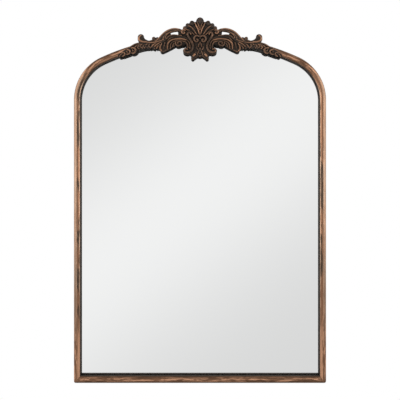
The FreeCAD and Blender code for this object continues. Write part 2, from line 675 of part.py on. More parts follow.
def crest_screw_holes():
    front = CREST_BACK - CREST_SCREW_BITE
    back = CREST_BACK + PLATE_THICKNESS + OVERRUN
    return [rod(x, z, SCREW_HOLE, front, back) for x, z in crest_screw_places()]


def crest_plate(frame_bar):
    """Plate welded on edge to the crown, behind the shell."""
    root = BAR_WIDTH / 2
    corner = at(-PLATE_WIDTH / 2, CREST_BACK, CROWN_TOP_Z - root)
    plate = Part.makeBox(PLATE_WIDTH, PLATE_THICKNESS, root + PLATE_HEIGHT, corner)
    return plate.cut([frame_bar] + crest_screw_holes())


def crest_ear(frame_bar):
    """Right ear, welded on edge to the crown behind the spray."""
    root = BAR_WIDTH / 2
    ear = Part.makeBox(EAR_WIDTH, PLATE_THICKNESS, root + EAR_HEIGHT, Vector(-EAR_WIDTH / 2, 0, -root))
    x, z = ear_point(0)
    turn = FreeCAD.Rotation(Y_AXIS, math.degrees(EAR_ANGLE))
    ear.Placement = FreeCAD.Placement(at(x, CREST_BACK, z), turn)
    return ear.cut([frame_bar] + crest_screw_holes())


def crest_screws():
    under_head = CREST_BACK + PLATE_THICKNESS
    length = PLATE_THICKNESS + CREST_SCREW_BITE
    return Part.makeCompound([pan_screw(x, z, under_head, length) for x, z in crest_screw_places()])


def build_nodes():
    """Every piece of the mirror, by node name."""
    frame_bar = arch_bar(0).fuse(rail_bar(0))
    saddle = arch_bar(-SADDLE_GAP)
    nodes = {
        "frame_arch": frame_arch(),
        "bottom_rail": bottom_rail(),
        "corner_screws": corner_screws(),
        "glass_tape": glass_tape(),
        "mirror_glass": arch_plate(PANE_INSET, GLASS_DEPTH, GLASS_THICKNESS),
        "foam_strips": foam_strips(),
        "backing_board": backing_board(),
        "tab_screws": tab_screws(),
        "hanger_rivets": hanger_rivets(),
        "wall_bumpers": wall_bumpers(),
        "crest_plate": crest_plate(frame_bar),
        "crest_screws": crest_screws(),
        "crest_shell": crest_shell(saddle),
    }
    for number, seat in enumerate(tab_seats(), start=1):
        nodes[f"retaining_tab_{number}"] = retaining_tab(seat, frame_bar)
    pairs = {
        "corner_key": corner_key(),
        "hanger_bracket": hanger_bracket(),
        "hanger_strap": hanger_strap(),
        "d_ring": d_ring(),
        "crest_ear": crest_ear(frame_bar),
        "crest_spray": crest_spray(saddle),
    }
    for name, right in pairs.items():
        nodes[f"{name}_right"] = right
        nodes[f"{name}_left"] = mirrored(right)
    return nodes


os.makedirs("parts", exist_ok=True)
for name, shape in build_nodes().items():
    shape.exportStep(f"parts/{name}.step")
    print(name, len(shape.Solids), "solids, valid:", shape.isValid(), "volume:", round(shape.Volume, 1))
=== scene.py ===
"""Looks of an arched wall mirror with a cast crest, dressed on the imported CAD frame.

Metres, +Z up, the front faces -Y. The carving of the crest is drawn in millimetres: the shell by its
plan, across and up from the crown's top, and a spray along the crown's outside line and out from it.
"""
import json
import logging
import math
from dataclasses import dataclass, replace
from enum import Enum
from typing import Callable, Iterable, Sequence

import bpy
import numpy as np
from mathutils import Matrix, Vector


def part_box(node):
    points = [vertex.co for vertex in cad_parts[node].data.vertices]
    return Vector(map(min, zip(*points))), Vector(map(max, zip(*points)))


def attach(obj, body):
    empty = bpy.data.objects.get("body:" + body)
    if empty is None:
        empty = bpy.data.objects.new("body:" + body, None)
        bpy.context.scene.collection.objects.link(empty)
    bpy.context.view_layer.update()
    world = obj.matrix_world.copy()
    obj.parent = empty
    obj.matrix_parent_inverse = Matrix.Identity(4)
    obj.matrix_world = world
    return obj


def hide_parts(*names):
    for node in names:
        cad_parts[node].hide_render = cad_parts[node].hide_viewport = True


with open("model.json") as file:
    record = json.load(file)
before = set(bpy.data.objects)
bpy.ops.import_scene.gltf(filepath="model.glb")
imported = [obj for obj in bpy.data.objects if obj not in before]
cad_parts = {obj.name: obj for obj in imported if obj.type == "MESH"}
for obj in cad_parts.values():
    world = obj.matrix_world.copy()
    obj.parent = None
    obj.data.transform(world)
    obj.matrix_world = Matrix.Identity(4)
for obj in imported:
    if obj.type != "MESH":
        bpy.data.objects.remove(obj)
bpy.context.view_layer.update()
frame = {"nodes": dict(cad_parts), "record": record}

LOG = logging.getLogger("arched_mirror")
MM = 0.001
RUN_MAP = "Run"              # UV map of the moulding: along its length and across its section, in metres
RUB_ATTRIBUTE = "rub"        # how much of a casting's spot stands proud, for the rubbed finish, nought on the low walls as painted shade
UPRIGHT_ATTRIBUTE = "upright"    # 0 where the moulding runs level, 1 where it runs up, 2 at its feet
SHARP_ANGLE = math.radians(38)

Colour = tuple[float, float, float]
Point = tuple[float, float]
Span = tuple[float, float]


class Slot(Enum):
    """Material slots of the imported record."""

    RUBBED_BRONZE = "rubbed_bronze"
    CAST_CREST = "cast_crest"
    MIRROR_PANE = "mirror_pane"
    FIBREBOARD = "fibreboard"
    BLACK_STEEL = "black_steel"
    ZINC_STEEL = "zinc_steel"
    BUMPER_RUBBER = "bumper_rubber"
    FOAM = "foam"


class Wiring:
    """Adds nodes to one node tree and joins their sockets."""

    def __init__(self, tree: bpy.types.NodeTree) -> None:
        """Keep the tree that nodes are added to."""
        self.tree = tree

    def add(self, kind: str, inputs: dict | None = None, **settings: object) -> bpy.types.Node:
        """Add a node.

        Args:
            kind: Blender's name of the node type.
            inputs: a value or a socket for each input, by its name or number.
            settings: properties of the node.

        Returns:
            The new node.
        """
        node = self.tree.nodes.new(kind)
        for name, value in settings.items():
            setattr(node, name, value)
        for key, value in (inputs or {}).items():
            self.feed(node.inputs[key], value)
        return node

    def feed(self, target: bpy.types.NodeSocket, value: object) -> None:
        """Join a socket to an input, or set the input's own value.

        Args:
            target: the input.
            value: a socket or a plain value.
        """
        if isinstance(value, bpy.types.NodeSocket):
            self.tree.links.new(value, target)
        else:
            target.default_value = value

    def math(self, operation: str, first: object, second: object = 0.0) -> bpy.types.NodeSocket:
        """Value of a two-number sum."""
        return self.add("ShaderNodeMath", {0: first, 1: second}, operation=operation).outputs[0]

    def plus(self, first: object, second: object) -> bpy.types.NodeSocket:
        """Sum of two values."""
        return self.math("ADD", first, second)

    def minus(self, first: object, second: object) -> bpy.types.NodeSocket:
        """Difference of two values."""
        return self.math("SUBTRACT", first, second)

    def times(self, first: object, second: object) -> bpy.types.NodeSocket:
        """Product of two values."""
        return self.math("MULTIPLY", first, second)

    def ramp(self, value: object, low: object, high: object) -> bpy.types.NodeSocket:
        """Smooth step from 0 at low to 1 at high."""
        spread = {"Value": value, "From Min": low, "From Max": high}
        return self.add("ShaderNodeMapRange", spread, interpolation_type="SMOOTHSTEP").outputs["Result"]

    def mix(self, factor: object, first: object, second: object) -> bpy.types.NodeSocket:
        """Colour between two colours.

        Args:
            factor: share of the second colour.
            first: the first colour.
            second: the second colour.

        Returns:
            The socket of the mixed colour.
        """
        node = self.add("ShaderNodeMix", data_type="RGBA")
        for key, value in (("Factor", factor), (6, first), (7, second)):
            self.feed(node.inputs[key], value)
        return node.outputs[2]

    def group(self, tree: bpy.types.NodeTree, **inputs: object) -> bpy.types.NodeSocket:
        """Output of a shared effect, its inputs given by name."""
        return self.add("ShaderNodeGroup", inputs, node_tree=tree).outputs[0]

    def attribute(self, name: str) -> bpy.types.NodeSocket:
        """Number that each point of the mesh carries under a name."""
        return self.add("ShaderNodeAttribute", attribute_name=name).outputs["Fac"]

    def axes(self, vector: bpy.types.NodeSocket) -> list[bpy.types.NodeSocket]:
        """The three numbers of a vector."""
        return list(self.add("ShaderNodeSeparateXYZ", {0: vector}).outputs)

    def bump(self, height: object, strength: float, distance: float) -> bpy.types.NodeSocket:
        """Normal of a surface that a height roughens."""
        sizes = {"Strength": strength, "Distance": distance, "Height": height}
        return self.add("ShaderNodeBump", sizes).outputs["Normal"]

    def principled(self, **inputs: object) -> None:
        """Set the Principled shader's inputs, named with _ for a space."""
        for name, value in inputs.items():
            self.feed(self.tree.nodes["Principled BSDF"].inputs[name.replace("_", " ")], value)


def opaque(colour: Colour) -> tuple[float, float, float, float]:
    """Colour with full alpha."""
    return (*colour, 1.0)


class SharedEffects:
    """Surface effects that several finishes use, each a node group built once."""

    def __init__(self) -> None:
        """Build the groups."""
        self.streaks = self._streaks()
        self.rubbed = self._rubbed()
        self.speckle = self._speckle()

    @staticmethod
    def _group(name: str, output: str, **inputs: float) -> tuple[Wiring, dict, bpy.types.NodeSocket]:
        """Empty group with named number sockets.

        Args:
            name: the group's name.
            output: the name of its one output.
            inputs: each input's name and usual value.

        Returns:
            The group's wiring, the sockets of its inputs by name and the socket of its output.
        """
        tree = bpy.data.node_groups.new(name, "ShaderNodeTree")
        for label, value in inputs.items():
            socket = tree.interface.new_socket(label, in_out="INPUT", socket_type="NodeSocketFloat")
            socket.default_value = value
        tree.interface.new_socket(output, in_out="OUTPUT", socket_type="NodeSocketFloat")
        wiring = Wiring(tree)
        given = wiring.add("NodeGroupInput").outputs
        return wiring, {label: given[label] for label in inputs}, wiring.add("NodeGroupOutput").inputs[output]

    def _streaks(self) -> bpy.types.NodeTree:
        """Long brush streaks that run along a piece.

        Returns:
            The group.
        """
        wiring, given, result = self._group(
            "Brush Streaks", "Streak", Along=0.0, Across=0.0, Length=0.05, Width=0.002, Seed=0.0)
        place = wiring.add("ShaderNodeCombineXYZ", {
            "X": wiring.math("DIVIDE", given["Along"], given["Length"]),
            "Y": wiring.math("DIVIDE", given["Across"], given["Width"]),
            "Z": given["Seed"]})
        noise = wiring.add("ShaderNodeTexNoise", {
            "Vector": place.outputs[0], "Scale": 1.0, "Detail": 3.0, "Roughness": 0.6})
        wiring.feed(result, wiring.ramp(noise.outputs["Fac"], 0.30, 0.70))
        return wiring.tree

    def _rubbed(self) -> bpy.types.NodeTree:
        """Mask of the proud spots where a dark coat is rubbed through, broken up by grain.

        Returns:
            The group.
        """
        wiring, given, result = self._group(
            "Rubbed Ridges", "Rub", Proud=0.0, Breakup=0.3, Grain=120.0, Low=0.2, High=0.7)
        noise = wiring.add("ShaderNodeTexNoise", {
            "Vector": wiring.add("ShaderNodeTexCoord").outputs["Object"], "Scale": given["Grain"],
            "Detail": 4.0, "Roughness": 0.65})
        grain = wiring.times(wiring.minus(noise.outputs["Fac"], 0.5), given["Breakup"])
        wiring.feed(result, wiring.ramp(wiring.plus(given["Proud"], grain), given["Low"], given["High"]))
        return wiring.tree

    def _speckle(self) -> bpy.types.NodeTree:
        """Fine uneven speckle, as dust, fibres or a cast skin leave.

        Returns:
            The group.
        """
        wiring, given, result = self._group("Fine Speckle", "Speckle", Scale=400.0, Contrast=0.5, Stretch=1.0)
        x, y, z = wiring.axes(wiring.add("ShaderNodeTexCoord").outputs["Object"])
        drawn = wiring.add("ShaderNodeCombineXYZ", {"X": x, "Y": y, "Z": wiring.times(z, given["Stretch"])})
        noise = wiring.add("ShaderNodeTexNoise", {
            "Vector": drawn.outputs[0], "Scale": given["Scale"], "Detail": 5.0, "Roughness": 0.7})
        centred = wiring.minus(noise.outputs["Fac"], 0.5)
        wiring.feed(result, wiring.plus(wiring.times(centred, given["Contrast"]), 0.5))
        return wiring.tree


@dataclass(frozen=True)
class Finish:
    """A surface finish: its record slot and the material that shows it."""

    slot: Slot

    def material(self, effects: SharedEffects) -> bpy.types.Material:
        """Make the finish's material.

        Args:
            effects: the shared node groups.

        Returns:
            The new material.
        """
        made = bpy.data.materials.new(self.slot.value)
        made.use_nodes = True
        self.wire(Wiring(made.node_tree), effects)
        return made

    def wire(self, wiring: Wiring, effects: SharedEffects) -> None:
        """Set the nodes of the material, which each finish does in its own way."""
        raise NotImplementedError


@dataclass(frozen=True)
class RubbedBronze(Finish):
    """Brushed bronze of the moulding, burn streaked, with painted highlights, shade and reflections.

    A span says where a mark begins and where it is full. Places across the rounded front are shares of its
    width, from the outside. The sizes of streaks are along and across the bar.
    """

    slot: Slot = Slot.RUBBED_BRONZE
    # copper: a random tone of the bronze, and the feet's painted copper reflection
    copper: Colour = (0.64, 0.342, 0.205)
    bronze: Colour = (0.22, 0.110, 0.062)
    # burn streaks, and painted shade at the edges and on the outer part of the uprights
    burnt_and_shade: Colour = (0.070, 0.040, 0.024)
    # pale and cream: painted highlights on the uprights' flanks
    pale: Colour = (0.41, 0.255, 0.168)
    highlight_cream: Colour = (0.50, 0.37, 0.27)
    # painted dark reflection down the uprights, and painted shade on the inner side
    black: Colour = (0.040, 0.030, 0.022)
    face_width: float = 0.0177           # rounded front, along its curve
    side_start: float = 0.0550           # place of the outer side along the section's outline
    edge_blur: float = 0.0004            # to each side of the front's edges
    patch_size: Span = (0.032, 0.0050)
    burn_size: Span = (0.0768, 0.0025)
    drift_size: Span = (0.110, 0.0177)
    brush_size: Span = (0.035, 0.0009)
    level_span: Span = (0.85, 0.15)      # of the upright attribute, where the bar runs level
    upright_light_span: Span = (0.5, 0.95)      # where it runs up, for the painted highlights and shade
    foot_span: Span = (1.05, 1.95)       # at its feet
    rail_span: Span = (2.5, 2.6)         # of the run map, before the bottom rail
    patch_span: Span = (0.36, 0.62)
    patch_sway: float = 0.10             # how far patches shift the marks across the front
    burn_span: Span = (0.50, 0.64)
    burn_share: float = 0.75
    inner_edge: Span = (0.60, 1.0)
    outer_edge: Span = (0.46, 0.18)
    rail_edge: Span = (0.52, 0.34)       # more painted shade on the rail's lower edge
    edge_share: float = 0.8
    line_place: float = 0.735            # painted dark reflection: a line down the uprights
    flank_span: Span = (0.14025, 0.1815)     # away from that line
    flank_share: float = 0.75
    line_share: float = 0.9
    dark_reflection_span: Span = (0.38, 0.62)
    shaded_span: Span = (0.53, 0.43)     # painted shade on the outer part of the uprights
    shaded_share: float = 0.42
    foot_edge: Span = (0.40, 0.90)       # inner part of the feet, where copper paints a reflection
    brush_share: float = 0.28
    side_share: float = 0.6

    def wire(self, wiring: Wiring, effects: SharedEffects) -> None:
        """Streak the rounded front along its length and darken the faces beside it.

        Args:
            wiring: the material's nodes.
            effects: the shared node groups.
        """
        along, across, _ = wiring.axes(wiring.add("ShaderNodeUVMap", uv_map=RUN_MAP).outputs["UV"])
        upright = wiring.attribute(UPRIGHT_ATTRIBUTE)

        def streak(size: Span, seed: float) -> bpy.types.NodeSocket:
            """Streaks of one length and width."""
            return wiring.group(effects.streaks, Along=along, Across=across, Length=size[0], Width=size[1],
                                Seed=seed)

        patches = streak(self.patch_size, 3.0)
        brush = streak(self.brush_size, 11.0)
        burns = streak(self.burn_size, 29.0)
        drift = streak(self.drift_size, 41.0)
        sway = wiring.times(wiring.minus(patches, 0.5), self.patch_sway)
        share = wiring.plus(wiring.math("DIVIDE", across, self.face_width), sway)
        level = wiring.ramp(upright, *self.level_span)
        foot = wiring.ramp(upright, *self.foot_span)
        # where the bar runs up, clear of its feet: the painted highlights, painted shade and painted dark
        # reflection go there
        rubbed = wiring.minus(wiring.ramp(upright, *self.upright_light_span), foot)
        # copper and bronze with dark burn marks, and painted shade at the edges where the bar runs level
        plain = wiring.mix(wiring.ramp(patches, *self.patch_span), opaque(self.bronze), opaque(self.copper))
        marks = wiring.times(wiring.ramp(burns, *self.burn_span), self.burn_share)
        plain = wiring.mix(marks, plain, opaque(self.burnt_and_shade))
        under = wiring.times(wiring.ramp(along, *self.rail_span), wiring.ramp(share, *self.rail_edge))
        outer = wiring.math("MAXIMUM", wiring.ramp(share, *self.outer_edge), under)
        edges = wiring.times(wiring.plus(wiring.ramp(share, *self.inner_edge), outer), level)
        tone = wiring.mix(wiring.times(edges, self.edge_share), plain, opaque(self.burnt_and_shade))
        # painted highlights on the flanks beside the dark line down the uprights, painted shade on their
        # outer part, and a painted copper reflection at the feet
        off_line = wiring.math("ABSOLUTE", wiring.minus(share, self.line_place))
        flank = wiring.ramp(off_line, *self.flank_span)
        painted_highlight = wiring.mix(drift, opaque(self.pale), opaque(self.highlight_cream))
        tone = wiring.mix(wiring.times(wiring.times(flank, rubbed), self.flank_share), tone, painted_highlight)
        shaded = wiring.times(wiring.ramp(share, *self.shaded_span), rubbed)
        tone = wiring.mix(wiring.times(shaded, self.shaded_share), tone, opaque(self.burnt_and_shade))
        tone = wiring.mix(wiring.times(foot, wiring.ramp(share, *self.foot_edge)), tone, opaque(self.copper))
        tone = wiring.mix(wiring.times(brush, self.brush_share), tone, opaque(self.bronze))
        # painted dark reflection down the middle of the uprights, bronze to black with the drift
        line = wiring.times(wiring.minus(1.0, flank), rubbed)
        painted_dark_reflection = wiring.mix(wiring.ramp(drift, *self.dark_reflection_span), opaque(self.bronze), opaque(self.black))
        tone = wiring.mix(wiring.times(line, self.line_share), tone, painted_dark_reflection)
        # plain outer side; black inner side and back, the inner side's black being painted shade
        side = wiring.ramp(across, self.side_start - self.edge_blur, self.side_start + self.edge_blur)
        tone = wiring.mix(side, tone, wiring.mix(self.side_share, plain, opaque(self.bronze)))
        past = wiring.ramp(across, self.face_width - self.edge_blur, self.face_width + self.edge_blur)
        beside = wiring.minus(past, side)
        tone = wiring.mix(beside, tone, opaque(self.black))
        rough = wiring.plus(wiring.times(brush, 0.12), wiring.plus(wiring.times(beside, 0.35), 0.24))
        metal = wiring.times(wiring.minus(1.0, beside), 0.88)
        wiring.principled(Base_Color=tone, Metallic=metal, Roughness=rough, Specular_IOR_Level=0.25,
                          Normal=wiring.bump(brush, 0.08, 0.0002))


@dataclass(frozen=True)
class CastCrest(Finish):
    """Dark bronze cast resin with copper rubbed over its ridges."""

    slot: Slot = Slot.CAST_CREST
    hollow: Colour = (0.0135, 0.0105, 0.0085)
    bronze: Colour = (0.034, 0.0235, 0.017)
    copper: Colour = (0.33, 0.172, 0.100)
    open_span: Span = (0.30, 0.62)       # of standing proud, from the hollows to the open parts
    ridge_span: Span = (0.58, 1.10)      # from these to the rubbed ridges

    def wire(self, wiring: Wiring, effects: SharedEffects) -> None:
        """Copper on the proud ridges, near black in the hollows.

        Args:
            wiring: the material's nodes.
            effects: the shared node groups.
        """
        proud = wiring.attribute(RUB_ATTRIBUTE)

        def rub(breakup: float, grain: float, span: Span) -> bpy.types.NodeSocket:
            """Rubbed mask over a span of standing proud."""
            return wiring.group(effects.rubbed, Proud=proud, Breakup=breakup, Grain=grain, Low=span[0],
                                High=span[1])

        open_part = rub(0.20, 160.0, self.open_span)
        ridge = rub(0.75, 60.0, self.ridge_span)
        tone = wiring.mix(open_part, opaque(self.hollow), opaque(self.bronze))
        tone = wiring.mix(ridge, tone, opaque(self.copper))
        skin = wiring.group(effects.speckle, Scale=900.0, Contrast=0.8)
        dull = wiring.times(wiring.minus(1.0, open_part), 0.45)
        rough = wiring.plus(wiring.times(skin, 0.16), wiring.plus(dull, 0.26))
        wiring.principled(Base_Color=tone, Metallic=wiring.times(ridge, 0.8), Roughness=rough,
                          Specular_IOR_Level=0.16, Normal=wiring.bump(skin, 0.12, 0.0002))


@dataclass(frozen=True)
class SilveredGlass(Finish):
    """Silvering seen through clear glass."""

    slot: Slot = Slot.MIRROR_PANE
    silver: Colour = (0.945, 0.952, 0.950)

    def wire(self, wiring: Wiring, effects: SharedEffects) -> None:
        """Clear mirror."""
        wiring.principled(Base_Color=opaque(self.silver), Metallic=1.0, Roughness=0.0)


@dataclass(frozen=True)
class RawFibreboard(Finish):
    """Raw brown fibreboard."""

    slot: Slot = Slot.FIBREBOARD
    dark: Colour = (0.22, 0.135, 0.075)
    pale: Colour = (0.46, 0.315, 0.195)
    fibre_share: float = 0.6             # the rest are clouds

    def wire(self, wiring: Wiring, effects: SharedEffects) -> None:
        """Felted fibres in two browns.

        Args:
            wiring: the material's nodes.
            effects: the shared node groups.
        """
        fibres = wiring.group(effects.speckle, Scale=260.0, Contrast=1.3, Stretch=0.35)
        clouds = wiring.group(effects.speckle, Scale=14.0, Contrast=0.7)
        cloudy = wiring.times(clouds, 1 - self.fibre_share)
        blend = wiring.plus(wiring.times(fibres, self.fibre_share), cloudy)
        tone = wiring.mix(wiring.ramp(blend, 0.25, 0.75), opaque(self.dark), opaque(self.pale))
        wiring.principled(Base_Color=tone, Roughness=0.85, Normal=wiring.bump(fibres, 0.25, 0.0003))


@dataclass(frozen=True)
class PlainMetal(Finish):
    """Sheet or wire metal with drawn streaks."""

    colour: Colour = (0.6, 0.6, 0.6)
    shade: Colour = (0.4, 0.4, 0.4)
    roughness: float = 0.35
    unevenness: float = 0.18             # of the roughness, about its middle
    metallic: float = 1.0

    def wire(self, wiring: Wiring, effects: SharedEffects) -> None:
        """Two shades in streaks, with an uneven sheen.

        Args:
            wiring: the material's nodes.
            effects: the shared node groups.
        """
        x, _, z = wiring.axes(wiring.add("ShaderNodeTexCoord").outputs["Object"])
        drawn = wiring.group(effects.streaks, Along=z, Across=x, Length=0.012, Width=0.0007, Seed=5.0)
        speckle = wiring.group(effects.speckle, Scale=500.0, Contrast=0.8)
        rough = wiring.plus(wiring.times(speckle, self.unevenness), self.roughness - self.unevenness / 2)
        wiring.principled(Base_Color=wiring.mix(drawn, opaque(self.shade), opaque(self.colour)),
                          Metallic=self.metallic, Roughness=rough)


@dataclass(frozen=True)
class SoftBlack(Finish):
    """Black rubber or foam."""

    colour: Colour = (0.030, 0.030, 0.031)
    dusty: Colour = (0.075, 0.074, 0.072)
    grain: float = 350.0
    roughness: float = 0.75

    def wire(self, wiring: Wiring, effects: SharedEffects) -> None:
        """Matt black with a little dust.

        Args:
            wiring: the material's nodes.
            effects: the shared node groups.
        """
        dust = wiring.group(effects.speckle, Scale=self.grain, Contrast=1.1)
        tone = wiring.mix(wiring.ramp(dust, 0.3, 0.8), opaque(self.colour), opaque(self.dusty))
        wiring.principled(Base_Color=tone, Roughness=self.roughness, Normal=wiring.bump(dust, 0.2, 0.0002))


FINISHES: tuple[Finish, ...] = (
    RubbedBronze(),
    CastCrest(),
    SilveredGlass(),
    RawFibreboard(),
    PlainMetal(Slot.BLACK_STEEL, colour=(0.040, 0.040, 0.041), shade=(0.020, 0.020, 0.020), roughness=0.42,
               metallic=0.4),
    PlainMetal(Slot.ZINC_STEEL, colour=(0.66, 0.665, 0.67), shade=(0.42, 0.425, 0.43), roughness=0.32),
    SoftBlack(Slot.BUMPER_RUBBER),
    SoftBlack(Slot.FOAM, colour=(0.045, 0.045, 0.046), dusty=(0.11, 0.11, 0.11), grain=900.0, roughness=0.9),
)


class Wardrobe:
    """Materials of all finishes, made once and handed out by slot."""

    def __init__(self) -> None:
        """Make every finish's material."""
        effects = SharedEffects()
        self.materials = {finish.slot: finish.material(effects) for finish in FINISHES}

    def dress(self, piece: bpy.types.Object, slot: Slot) -> None:
        """Give a piece one finish all over.

        Args:
            piece: the piece.
            slot: the finish's slot.
        """
        piece.data.materials.clear()
        piece.data.materials.append(self.materials[slot])


def new_piece(name: str, vertices: np.ndarray, faces: Sequence[Sequence[int]]) -> bpy.types.Object:
    """Put a mesh into the scene, smooth with sharp edges.

    Args:
        name: the piece's name.
        vertices: places in metres.
        faces: vertex numbers of each face.

    Returns:
        The new object.
    """
    mesh = bpy.data.meshes.new(name)
    mesh.from_pydata(vertices.tolist(), [], [list(face) for face in faces])
    mesh.shade_smooth()
    mesh.set_sharp_from_angle(angle=SHARP_ANGLE)
    piece = bpy.data.objects.new(name, mesh)
    bpy.context.scene.collection.objects.link(piece)
    return piece


def put_numbers(piece: bpy.types.Object, name: str, values: np.ndarray) -> None:
    """Give each point of a piece's mesh a number, which its finish reads by name."""
    layer = piece.data.attributes.new(name, "FLOAT", "POINT")
    layer.data.foreach_set("value", values.astype(np.float32))


@dataclass
class FrameMoulding:
    """The bent moulding and the bottom rail, half round in front, mitred at the lower corners."""

    crown_radius: float = 0.574
    shoulder_radius: float = 0.1135
    bar_width: float = 0.015
    front_rise: float = 0.004
    rim_width: float = 0.009
    rail_extra: float = 0.0016       # the bottom rail's face is that much taller than the uprights' is wide
    edge_round: float = 0.0006
    ease_limit: float = 0.45         # most of an edge that a rounded corner takes
    mitre_gap: float = 0.00012       # each side of the mitre's joint line
    mitre_spread: float = 4.0        # widening of that gap towards the corner's start, in mitre gaps
    corner_radius: float = 0.0042    # of the outer lower corners
    corner_steps: int = 4
    rail_start: float = 3.0          # place of the rail's middle in the run map, clear of the arch's
    plain_foot: Span = (0.07, 0.20)  # heights over which the feet's painted copper reflection gives way to the uprights' painted light
    face_steps: int = 16             # across the rounded front
    bend_step: float = math.radians(1.5)
    straight_step: float = 0.02

    def __post_init__(self) -> None:
        """Take the moulding's places from the CAD frame."""
        low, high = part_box("frame_arch")
        self.side_x = high.x
        self.crown_top = high.z
        self.front_y = low.y
        self.back_y = high.y
        self.base_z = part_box("bottom_rail")[0].z
        self.ledge_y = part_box("glass_tape")[0].y
        self.corner_reach = 2 * self.bar_width

    def section(self) -> tuple[np.ndarray, np.ndarray]:
        """Outline of the section, clockwise from the outer front edge.

        Returns:
            Rows of (inset, y), and the distance of each along the outline.
        """
        half = self.bar_width / 2
        radius = (self.front_rise ** 2 + half ** 2) / (2 * self.front_rise)
        reach = math.asin(half / radius)
        front = []
        for turn in np.linspace(-reach, reach, self.face_steps + 1):
            front.append((half + radius * math.sin(turn), self.front_y + radius * (1 - math.cos(turn))))
        corners = [
            (self.bar_width, self.ledge_y), (self.rim_width, self.ledge_y),
            (self.rim_width, self.back_y), (0.0, self.back_y),
        ]
        outline = np.array(front + corners)
        outline = self.eased(outline, {self.face_steps, self.face_steps + 1, len(outline) - 1, 0})
        steps = np.linalg.norm(np.diff(outline, axis=0, append=outline[:1]), axis=1)
        return outline, np.concatenate([[0.0], np.cumsum(steps)])

    def eased(self, outline: np.ndarray, corners: set[int]) -> np.ndarray:
        """Replace sharp corners by two points each.

        Args:
            outline: the closed outline.
            corners: the numbers of the corners to ease.

        Returns:
            The outline with eased corners, starting after the first eased corner.
        """
        rows = []
        count = len(outline)
        for index, point in enumerate(outline):
            if index not in corners:
                rows.append(point)
                continue
            for other in (outline[index - 1], outline[(index + 1) % count]):
                way = other - point
                rows.append(point + way * min(self.edge_round / np.linalg.norm(way), self.ease_limit))
        return np.array(rows)

    def arch_line(self) -> list[tuple[float, Point, Point]]:
        """Stations of the arch's outside line from the left foot to the right one.

        Returns:
            For each station its distance along the line, its (x, z) and its outward (x, z) direction.
        """
        spacing = self.crown_radius - self.shoulder_radius
        shoulder_x = self.side_x - self.shoulder_radius
        half_angle = math.asin(shoulder_x / spacing)
        crown_z = self.crown_top - self.crown_radius
        shoulder_z = crown_z + spacing * math.cos(half_angle)
        places: list[tuple[Point, Point]] = []
        rises = np.arange(self.base_z, shoulder_z, self.straight_step)
        places += [((-self.side_x, z), (-1.0, 0.0)) for z in rises]

        def bend(centre: Point, radius: float, start: float, end: float) -> None:
            """Add an arc, its angles measured from +Z towards +X.

            Args:
                centre: the arc's centre.
                radius: its radius.
                start: its first angle.
                end: its last angle, which the next length begins with.
            """
            count = math.ceil(abs(end - start) / self.bend_step)
            for turn in np.linspace(start, end, count, endpoint=False):
                out = (math.sin(turn), math.cos(turn))
                places.append(((centre[0] + radius * out[0], centre[1] + radius * out[1]), out))

        bend((-shoulder_x, shoulder_z), self.shoulder_radius, -math.pi / 2, -half_angle)
        bend((0.0, crown_z), self.crown_radius, -half_angle, half_angle)
        bend((shoulder_x, shoulder_z), self.shoulder_radius, half_angle, math.pi / 2)
        places += [((self.side_x, z), (1.0, 0.0)) for z in [shoulder_z, *rises[::-1]]]
        stations = []
        along = 0.0
        for index, (place, out) in enumerate(places):
            if index:
                along += math.dist(place, places[index - 1][0])
            stations.append((along, place, out))
        return stations

    def sweep(self, name: str, rings: np.ndarray, alongs: Sequence[float],
              acrosses: np.ndarray) -> bpy.types.Object:
        """Skin a row of sections, cap its ends and lay the run map over it.

        Args:
            name: the piece's name.
            rings: places of every section, as sections by points by three.
            alongs: distance of each section along the bar.
            acrosses: distance of each point along the section's outline, with the full length last.

        Returns:
            The new object.
        """
        count = rings.shape[1]
        faces = []
        spans = []
        for i in range(len(rings) - 1):
            for j in range(count):
                k = (j + 1) % count
                faces.append((i * count + j, i * count + k, (i + 1) * count + k, (i + 1) * count + j))
                spans.append((i, j))
        last = (len(rings) - 1) * count
        faces += [tuple(range(count))[::-1], tuple(range(last, last + count))]
        piece = new_piece(name, rings.reshape(-1, 3), faces)
        coordinates = []
        for i, j in spans:
            near, far = alongs[i], alongs[i + 1]
            low, high = acrosses[j], acrosses[j + 1]
            coordinates += [(near, low), (near, high), (far, high), (far, low)]
        for along, order in ((alongs[0], range(count)[::-1]), (alongs[-1], range(count))):
            coordinates += [(along, acrosses[j]) for j in order]
        layer = piece.data.uv_layers.new(name=RUN_MAP)
        layer.data.foreach_set("uv", np.array(coordinates, np.float32).ravel())
        return piece

    def corner_rings(self, outline: np.ndarray, rail: bool) -> list[list[tuple[float, float, float]]]:
        """Sections round half of an outer lower corner, ending on the mitre.

        Args:
            outline: the section's (inset, y) rows.
            rail: whether they belong to the bottom rail, else to an upright.

        Returns:
            For each step, rows of (distance in from the side, y, height above the foot).
        """
        rings = []
        radius = self.corner_radius
        for share in np.linspace(0.0, 1.0, self.corner_steps):
            turn = share * math.pi / 4
            gap = self.mitre_gap * (1 + self.mitre_spread * (1 - share))
            ring = []
            for inset, y in outline:
                left = max(radius - inset, 0.0)
                near = radius - left * math.cos(turn) if left else inset
                far = radius - left * math.sin(turn) if left else inset
                if rail:
                    ring.append((far + gap, y, self.rail_rise(near)))
                else:
                    ring.append((near, y, self.rail_rise(far) + gap))
            rings.append(ring)
        return rings

    def rail_rise(self, inset: float) -> float:
        """Height above the foot of a spot of the bottom rail's section."""
        return inset + self.rail_extra * (inset / self.bar_width) ** 2

